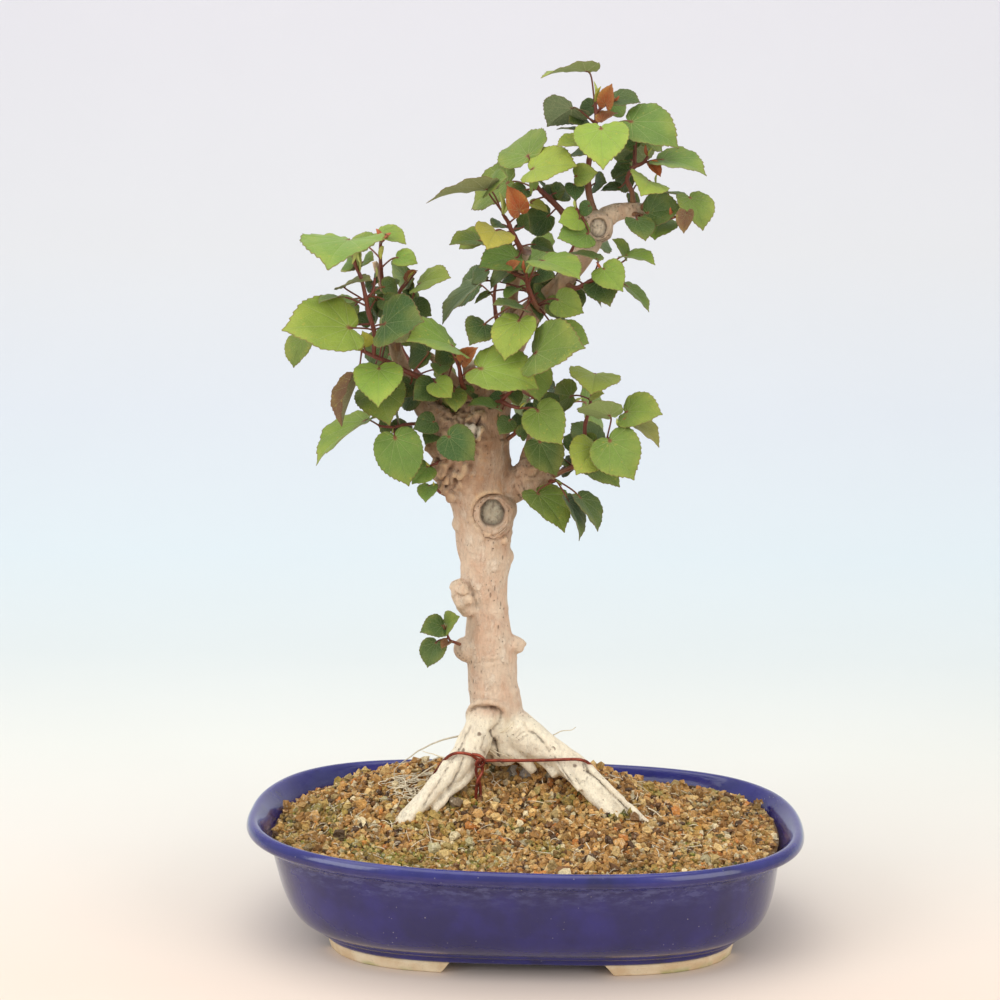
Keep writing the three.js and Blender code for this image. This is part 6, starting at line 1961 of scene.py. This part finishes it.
@dataclass
class Blade:
    """Shape of a leaf blade: heart shaped, toothed, folded up along its midrib and arched along it.

    The rims give the outline as degrees from the midrib and shares of the length. The teeth of one
    side and the shares of the way out of its rings are given for blades from a length upwards.
    """

    fold: float = 0.2
    arch: float = 0.05
    half_thickness: float = 0.24
    rims: Rows = (
        (0, 1.0), (4.4, 0.912), (13, 0.85), (24.6, 0.785), (43, 0.7), (60, 0.612), (78, 0.53), (95, 0.456),
        (110, 0.382), (123, 0.312), (138, 0.238), (152, 0.168), (166, 0.092), (180, 0.03),
    )
    teeth: tuple[tuple[float, int], ...] = ((26, 17), (16, 13), (0, 8))
    rings: tuple[tuple[float, tuple[float, ...]], ...] = (
        (22, (0.03, 0.14, 0.28, 0.44, 0.6, 0.75, 0.87, 0.95, 0.985, 1)),
        (14, (0.04, 0.25, 0.5, 0.75, 0.92, 0.98, 1)),
        (0, (0.05, 0.5, 0.9, 1)),
    )
    fine_from: float = 16.0
    rough_teeth: float = 0.022
    fine_teeth: float = 0.034

    def margin(self, teeth: int, fine: bool) -> tuple[np.ndarray, np.ndarray]:
        """Angles and radii of the margin, one side and then the other.

        The outline's radius is read at angles that lie equally far apart along it, and each tooth
        takes three of them: it rises slowly towards the tip and falls back at once.

        Args:
            teeth: Teeth of one side.
            fine: Whether the teeth are full ones.

        Returns:
            Angles from the midrib and radii as shares of the blade's length.
        """
        table = smooth_run(self.rims, 12)
        angle, radius = np.radians(table[:, 0]), table[:, 1]
        x, y = radius * np.cos(angle), radius * np.sin(angle)
        run = np.concatenate([[0], np.cumsum(np.hypot(np.diff(x), np.diff(y)))])
        count = 3 * teeth
        at = run[-1] * (np.arange(count) + 0.5) / count
        angle, radius = np.interp(at, run, angle), np.interp(at, run, radius)
        saw = (np.arange(count)[::-1] % 3) / 2
        depth = (self.fine_teeth if fine else self.rough_teeth) * ease(2.6, 2.2, angle) * ease(0.02, 0.16, angle)
        radius = radius * (1 + depth * (saw - 0.5))
        return np.concatenate([angle, -angle[::-1]]), np.concatenate([radius, radius[::-1]])

    def skin(self, size: float, seed: float, curl: float) -> tuple[np.ndarray, ...]:
        """Points of both faces of a blade in its own directions.

        A point lies at a share t of the way from the foot to the margin at angle a: s = t R cos a
        along the midrib and w = t R sin a out from it. Its height is fold |w| + 4 arch s (1 - s),
        less valleys along the veins, plus waves that grow towards the margin.

        Args:
            size: Length in millimetres.
            seed: Chooses the waves.
            curl: How far the margin curls up (above zero) or down.

        Returns:
            Along, across and height in millimetres, the place on the blade and the trait, each in
            a grid of rings by margin points.
        """
        teeth = next(count for least, count in self.teeth if size >= least)
        angle, radius = self.margin(teeth, size >= self.fine_from)
        shares = np.array(next(ring for least, ring in self.rings if size >= least))
        t = np.concatenate([shares, shares[::-1]])[:, None]
        face = np.concatenate([np.ones(len(shares)), -np.ones(len(shares))])[:, None]
        s, w = t * radius * np.cos(angle), t * radius * np.sin(angle)
        out = np.abs(angle)[None]
        off = np.min([np.abs(out - vein) for vein in MAIN_VEINS], axis=0)
        reach = t * radius
        beside, ahead = reach * np.sin(off), reach * np.cos(off)
        height = self.fold * (np.sqrt(w**2 + 0.0009) - 0.03) + 4 * self.arch * s * (1 - s)
        height -= 0.006 * np.exp(-((beside / 0.03) ** 2)) * ease(0.05, 0.2, reach)
        ribs = np.cos((ahead - SIDE_VEIN_LEAN * beside) / SIDE_VEIN_STEP * TURN)
        height += 0.002 * ribs * ease(0.1, 0.3, reach) * ease(0.02, 0.06, beside)
        wave = np.sin(3 * angle + 6 * seed) * 0.014 + np.sin(7 * angle + 19 * seed) * 0.009
        height += wave * t**2 + 0.012 * np.sin(13 * angle + 7 * seed) * t**6
        height += curl * t**3 * 0.05 - 0.05 * ease(0.7, 1.05, s) * (0.4 + seed)
        lift = height * size + face * self.half_thickness * (1 - 0.55 * t**8)
        place = np.stack([FOOT_U + BLADE_UNIT * w, FOOT_V + BLADE_UNIT * s], -1)
        trait = np.stack(np.broadcast_arrays(face < 0, 0 * s, t), -1).astype(float)
        return s * size, w * size, lift, place, trait


@dataclass
class Shoots:
    """All leafy shoots: their stems, leaf stalks, blades and buds."""

    plans: tuple[ShootPlan, ...] = SHOOTS
    blade: Blade = field(default_factory=Blade)
    slides: tuple[float, ...] = (0, 4, -4, 8, -8, 12, -12, 17, -17, 22, -22, 28, -28)
    blade_half: float = 0.425
    golden_angle: float = 2.39996
    smallest: float = 14.0
    near_enough: float = 0.6
    stem_share: float = 0.78
    inner_share: float = 0.6
    bark_red: Colour = paint(0x703626)
    bark_brown: Colour = paint(0x8A6648)
    stalk_green: int = 0x8A7A3C
    bud_reach: float = 9.0
    brown_curl: float = 1.6
    young_width: float = 0.72
    young_fold: float = 0.3

    def station(self, stem: Rows, share: float) -> np.ndarray:
        """Steps across, steps down and near at a share of the way along a stem's stations."""
        stem = np.array(stem, float)
        return np.array([np.interp(share * (len(stem) - 1), np.arange(len(stem)), column) for column in stem.T[:3]])

    def extra_rows(self, plan: ShootPlan, number: int) -> list[LeafRow]:
        """Rows of the leaves that a plan doesn't list, which turn about its stems by the golden angle.

        The hidden leaves stand behind the first stem. A full shoot also has small shaded leaves at
        repeatable places close behind its stems, all shorter than the smallest leaf of the CAD.

        Args:
            plan: The shoot.
            number: Its place in the list.

        Returns:
            Leaf rows like the plan's own.
        """
        rows = []
        for k in range(plan.hidden):
            across, down, near = self.station(plan.stems[0], 0.3 + 0.65 * (k + 1) / plan.hidden)
            angle = self.golden_angle * (k + 3 * number)
            out, up = math.cos(angle), math.sin(angle)
            length = 22 + 9 * float(chance(10 * number + k))
            rows.append((across + 20 * out, down - 6 + 10 * up, across + 44 * out, down + 8 + 14 * up, -length,
                         near - 10 - 8 * float(chance(10 * number + k + 5)), 50, across, down, (M, D)[k % 2]))
        for k in range(round(self.inner_share * len(plan.leaves)) if len(plan.leaves) > 4 else 0):
            luck = [float(chance(31 * number + 3.7 * k + part)) for part in range(5)]
            across, down, near = self.station(plan.stems[k % len(plan.stems)], 0.12 + 0.7 * luck[0])
            angle = self.golden_angle * (k + 5 * number)
            out, up = math.cos(angle), math.sin(angle)
            foot_x, foot_y = across + (9 + 8 * luck[1]) * out, down + (7 + 6 * luck[1]) * up
            rows.append((foot_x, foot_y, foot_x + 17 * out + 4 * luck[2], foot_y + 11 * up + 8,
                         (11 + 2.8 * luck[3]) * (-1) ** k, near - 5 - 12 * luck[4], 10 + 50 * luck[2], across, down,
                         (D, M, D)[k % 3]))
        return rows

    def frame_of(self, row: LeafRow, slide: Any) -> tuple[np.ndarray, ...]:
        """Foot, directions along, across and out of the upper side, and length of a blade.

        The tip lies behind or before the foot's plane by the root of length squared less its
        seen length squared. The upper side's direction is a turn between the way to the eye and
        the way up, both square to the midrib.

        Args:
            row: The leaf row.
            slide: Millimetres that it is slid along the line of sight, one or several.

        Returns:
            The foot, the three directions and the length, each for all slides.
        """
        foot_x, foot_y, tip_x, tip_y, length, near, turn = row[:7]
        slide = np.atleast_1d(np.asarray(slide, float))
        near = near + slide
        foot = seen(foot_x, foot_y, near)
        flat = np.linalg.norm(seen(tip_x, tip_y, near) - foot, axis=-1)
        lean = np.sqrt(np.maximum(0, length**2 - flat**2)) * math.copysign(1, length)
        along = seen(tip_x, tip_y, near + lean) - foot
        size = np.linalg.norm(along, axis=-1)
        along = unit(along)
        face = EYE - foot
        face = unit(face - np.sum(face * along, -1, keepdims=True) * along)
        rise = np.cross(along, face)
        rise = np.where(rise[:, 2:] < 0, -rise, rise)
        angle = math.radians(turn)
        upper = face * math.cos(angle) + rise * math.sin(angle)
        return foot, along, np.cross(upper, along), upper, size

    def place(self, row: LeafRow, corners: np.ndarray) -> tuple[tuple[np.ndarray, ...], float]:
        """The frame of a blade where its CAD leaf stands, and how far that leaf's tip is from it."""
        foot, along, across, upper, size = self.frame_of(row, self.slides)
        tips = foot + along * size[:, None] + upper * self.blade_half
        gaps = np.linalg.norm(corners[None] - tips[:, None], axis=-1).min(1)
        best = int(gaps.argmin()) if gaps.min() < self.near_enough else 0
        return (foot[best], along[best], across[best], upper[best], size[best]), float(gaps.min())

    def stem_point(self, stems: tuple[Rows, ...], across: float, down: float) -> np.ndarray:
        """The point of a shoot's stems that shows nearest to a grid place."""
        rows = np.vstack([smooth_run(stem, 8) for stem in stems])
        row = rows[np.hypot(rows[:, 0] - across, rows[:, 1] - down).argmin()]
        return seen(*row[:3])

    def add_stems(self, form: Form, plan: ShootPlan) -> None:
        """Adds the stems: round, with a swelling at each leaf joint, woody at the foot."""
        for number, stem in enumerate(plan.stems):
            run = smooth_run(stem, 6)
            line = shaken(seen(*run.T[:3]), 9, 0.3)
            share = np.linspace(0, 1, len(run))
            joints = 1 + 0.16 * np.exp(-((np.abs((share * 5) % 1 - 0.5) / 0.12) ** 2))
            woody = ease(0.45, 0.0, share) * (number == 0)
            tint = np.array(self.bark_red[:3]) + woody[:, None] * (np.array(self.bark_brown[:3]) - self.bark_red[:3])
            form.add_rings(carried(line, run[:, 3] * joints * self.stem_share, 10), tint=tint)

    def add_stalk(self, form: Form, start: np.ndarray, foot: np.ndarray, along: np.ndarray, seed: float) -> None:
        """Adds a leaf stalk: a round profile along a cubic from the stem that enters the blade's foot."""
        reach = np.linalg.norm(foot - start)
        first = start + 0.35 * (foot - start) + 0.05 * reach * UP
        second = foot - along * min(0.28 * reach, 7)
        t = np.linspace(0, 1, 11)[:, None]
        line = (1 - t) ** 3 * start + 3 * (1 - t) ** 2 * t * first + 3 * (1 - t) * t**2 * second + t**3 * foot
        radius = 0.54 + 0.3 * np.exp(-((t[:, 0] / 0.09) ** 2)) + 0.2 * np.exp(-(((1 - t[:, 0]) / 0.1) ** 2))
        red = np.array(self.bark_red[:3]) * (0.85 + 0.4 * seed)
        tint = red + (0.35 * seed * t) * (colours(self.stalk_green)[0] - red)
        form.add_rings(carried(line, radius, 7), tint=tint)

    def add_blade(self, form: Form, where: tuple[np.ndarray, ...], tone: Tone, seed: float) -> None:
        """Adds a blade in its tone at its frame."""
        foot, along, across, upper, size = where
        curl = self.brown_curl if tone is Tone.BROWN else 0.8 * (seed - 0.6)
        ahead, out, lift, place, trait = self.blade.skin(float(size), seed, curl)
        young = tone in (Tone.RUSSET, Tone.BROWN)
        out = out * (self.young_width if young else 0.9 + 0.13 * float(chance(83 * seed)))
        lift = lift + self.young_fold * np.abs(out) * young
        points = foot + ahead[..., None] * along + out[..., None] * across + lift[..., None] * upper
        points = np.minimum(points, np.array(CAD_BOX[1]) / METRES - 0.05)
        code, flecks = tone.value
        warm, bright = float(chance(57 * seed)), float(chance(31 * seed))
        tint = colours(code)[0] * (0.86 + 0.28 * bright) * (0.88 + 0.26 * warm, 1, 1.0 - 0.15 * warm)
        trait[..., 1] = flecks
        form.add_rings(points, flip=True, tint=tint, trait=trait, place=place)

    def add_bud(self, form: Form, row: BudRow) -> None:
        """Adds a bud scale: a pointed leaf shape, thick in the middle and bent a little."""
        foot_x, foot_y, tip_x, tip_y, near, length, width, tone = row
        start, end = seen(foot_x, foot_y, near), seen(tip_x, tip_y, near + 1.5)
        end = start + unit(end - start) * length
        t = np.linspace(0, 1, 10)[:, None]
        side = unit(np.cross(end - start, AHEAD))
        line = start + (end - start) * t + side * 0.1 * length * np.sin(math.pi * t) * (-1 if foot_x % 2 else 1)
        radius = 0.5 * width * (np.sin(math.pi * np.clip(0.12 + 0.86 * t[:, 0], 0, 1)) ** 0.9) + 0.1
        form.add_rings(carried(line, radius, 8, 0.55), tint=colours(tone.value[0])[0] * (0.75 + 0.45 * t))

    def build(self) -> None:
        """Makes each shoot's wood and blades in place of its CAD node."""
        leaf, twig = LeafFinish(), FibreFinish("young_bark", 0.5, 420, 0.00025)
        bud_ends = np.array([seen(row[0], row[1], row[4]) for row in BUDS])
        for number, plan in enumerate(self.plans):
            wood, blades = Form(), Form()
            self.add_stems(wood, plan)
            corners = read_values(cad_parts[plan.name].data.vertices, "co", 3).astype(float) / METRES
            for k, row in enumerate([*plan.leaves, *self.extra_rows(plan, number)]):
                where, gap = self.place(row, corners)
                if gap > self.near_enough and abs(row[4]) >= self.smallest:
                    if k >= len(plan.leaves):
                        continue
                    log.info("%s: leaf %d stands %.1f mm from its solid", plan.name, k, gap)
                seed = float(chance(100 * number + 7 * k + 1))
                self.add_stalk(wood, self.stem_point(plan.stems, row[7], row[8]), where[0], where[1], seed)
                self.add_blade(blades, where, row[9], seed)
            stems = np.vstack([seen(*np.array(stem, float).T[:3]) for stem in plan.stems])
            for row, end in zip(BUDS, bud_ends):
                if np.linalg.norm(stems - end, axis=1).min() < self.bud_reach:
                    self.add_bud(wood, row)
            blades.piece(f"{plan.name}_blades", leaf, "leaf", [plan.name])
            wood.piece(f"{plan.name}_twigs", twig, "bark", [plan.name])


# Studio

@dataclass
class Studio:
    """Camera at the viewing place, soft lights, and a plain pale sweep of paper under the pot."""

    lens: float = 85.6
    sensor: float = 36.0
    clip: tuple[float, float] = (0.05, 30.0)
    lights: tuple[tuple[str, tuple[float, ...], float, float, tuple[float, ...]], ...] = (
        ("overhead", (-0.3, -0.5, 2.3), 2.6, 31, (1.0, 0.98, 0.95)),
        ("left_window", (-2.2, -1.7, 1.4), 1.7, 31, (0.95, 0.98, 1.0)),
        ("right_window", (2.2, -1.7, 1.2), 1.9, 28, (1.0, 0.97, 0.93)),
    )
    aim_height: float = 0.25
    sky: Colour = (0.93, 0.96, 1.0, 1.0)
    daylight: float = 0.74
    half_width: float = 6000.0
    bend_start: float = 700.0
    bend_radius: float = 1700.0
    top: float = 5200.0

    def camera(self) -> None:
        """Places the camera at the eye point of the grid view."""
        data = bpy.data.cameras.new("camera")
        data.lens, data.sensor_width = self.lens, self.sensor
        data.clip_start, data.clip_end = self.clip
        camera = linked("camera", data)
        camera.location = [float(v) * METRES for v in EYE]
        camera.rotation_euler = (math.pi / 2 - EYE_PITCH, 0, EYE_TURN)
        bpy.context.scene.camera = camera

    def light(self, name: str, place: tuple[float, float, float], size: float, power: float,
              colour: tuple[float, float, float]) -> None:
        """Adds a square soft light that faces the tree.

        Args:
            name: Name of the light.
            place: Where it hangs, in metres.
            size: Side of the square, in metres.
            power: Watts.
            colour: Linear colour.
        """
        data = bpy.data.lights.new(name, "AREA")
        data.size, data.energy, data.color = size, power, colour
        lamp = linked(name, data)
        x, y, z = place[0], place[1], place[2] - self.aim_height
        lamp.location = place
        lamp.rotation_euler = (math.atan2(math.hypot(x, y), z), 0, math.atan2(y, x) + math.pi / 2)

    def sweep(self) -> None:
        """Lays the paper: flat, then up behind the pot in a quarter circle."""
        bend = np.linspace(0, math.pi / 2, 48)
        back = self.bend_start + self.bend_radius
        y = np.concatenate([[-self.half_width], self.bend_start + self.bend_radius * np.sin(bend), [back]])
        z = np.concatenate([[0], self.bend_radius - self.bend_radius * np.cos(bend), [self.top]])
        x = np.linspace(-self.half_width, self.half_width, 9)
        points = np.stack(np.broadcast_arrays(x[None], y[:, None], z[:, None]), -1)
        rows, columns = points.shape[:2]
        first = np.arange(rows - 1)[:, None] * columns + np.arange(columns - 1)
        quads = np.stack([first, first + 1, first + columns + 1, first + columns], -1).reshape(-1, 4)
        form = Form()
        form.add(points, quads)
        mesh = form.mesh("paper_sweep")
        mesh.materials.append(StageFinish().material())
        sweep = linked("paper_sweep", mesh)

    def build(self) -> None:
        """Sets up camera, lights, daylight and paper."""
        self.camera()
        for row in self.lights:
            self.light(*row)
        world = bpy.data.worlds.new("daylight")
        world.use_nodes = True
        background = world.node_tree.nodes["Background"]
        background.inputs["Color"].default_value = self.sky
        background.inputs["Strength"].default_value = self.daylight
        bpy.context.scene.world = world
        bpy.context.scene.view_settings.view_transform = "Standard"
        self.sweep()


def main() -> None:
    """Builds the scene piece by piece."""
    logging.basicConfig(level=logging.INFO, format="%(message)s")
    Studio().build()
    pot = Pot()
    pot.build()
    soil = SoilBed(pot)
    soil.build()
    DrainMeshes().build()
    Trunk().build()
    TieWire().build()
    HairRoots(soil).build()
    Shoots().build()
    bpy.context.view_layer.update()


if __name__ == "__main__":
    main()
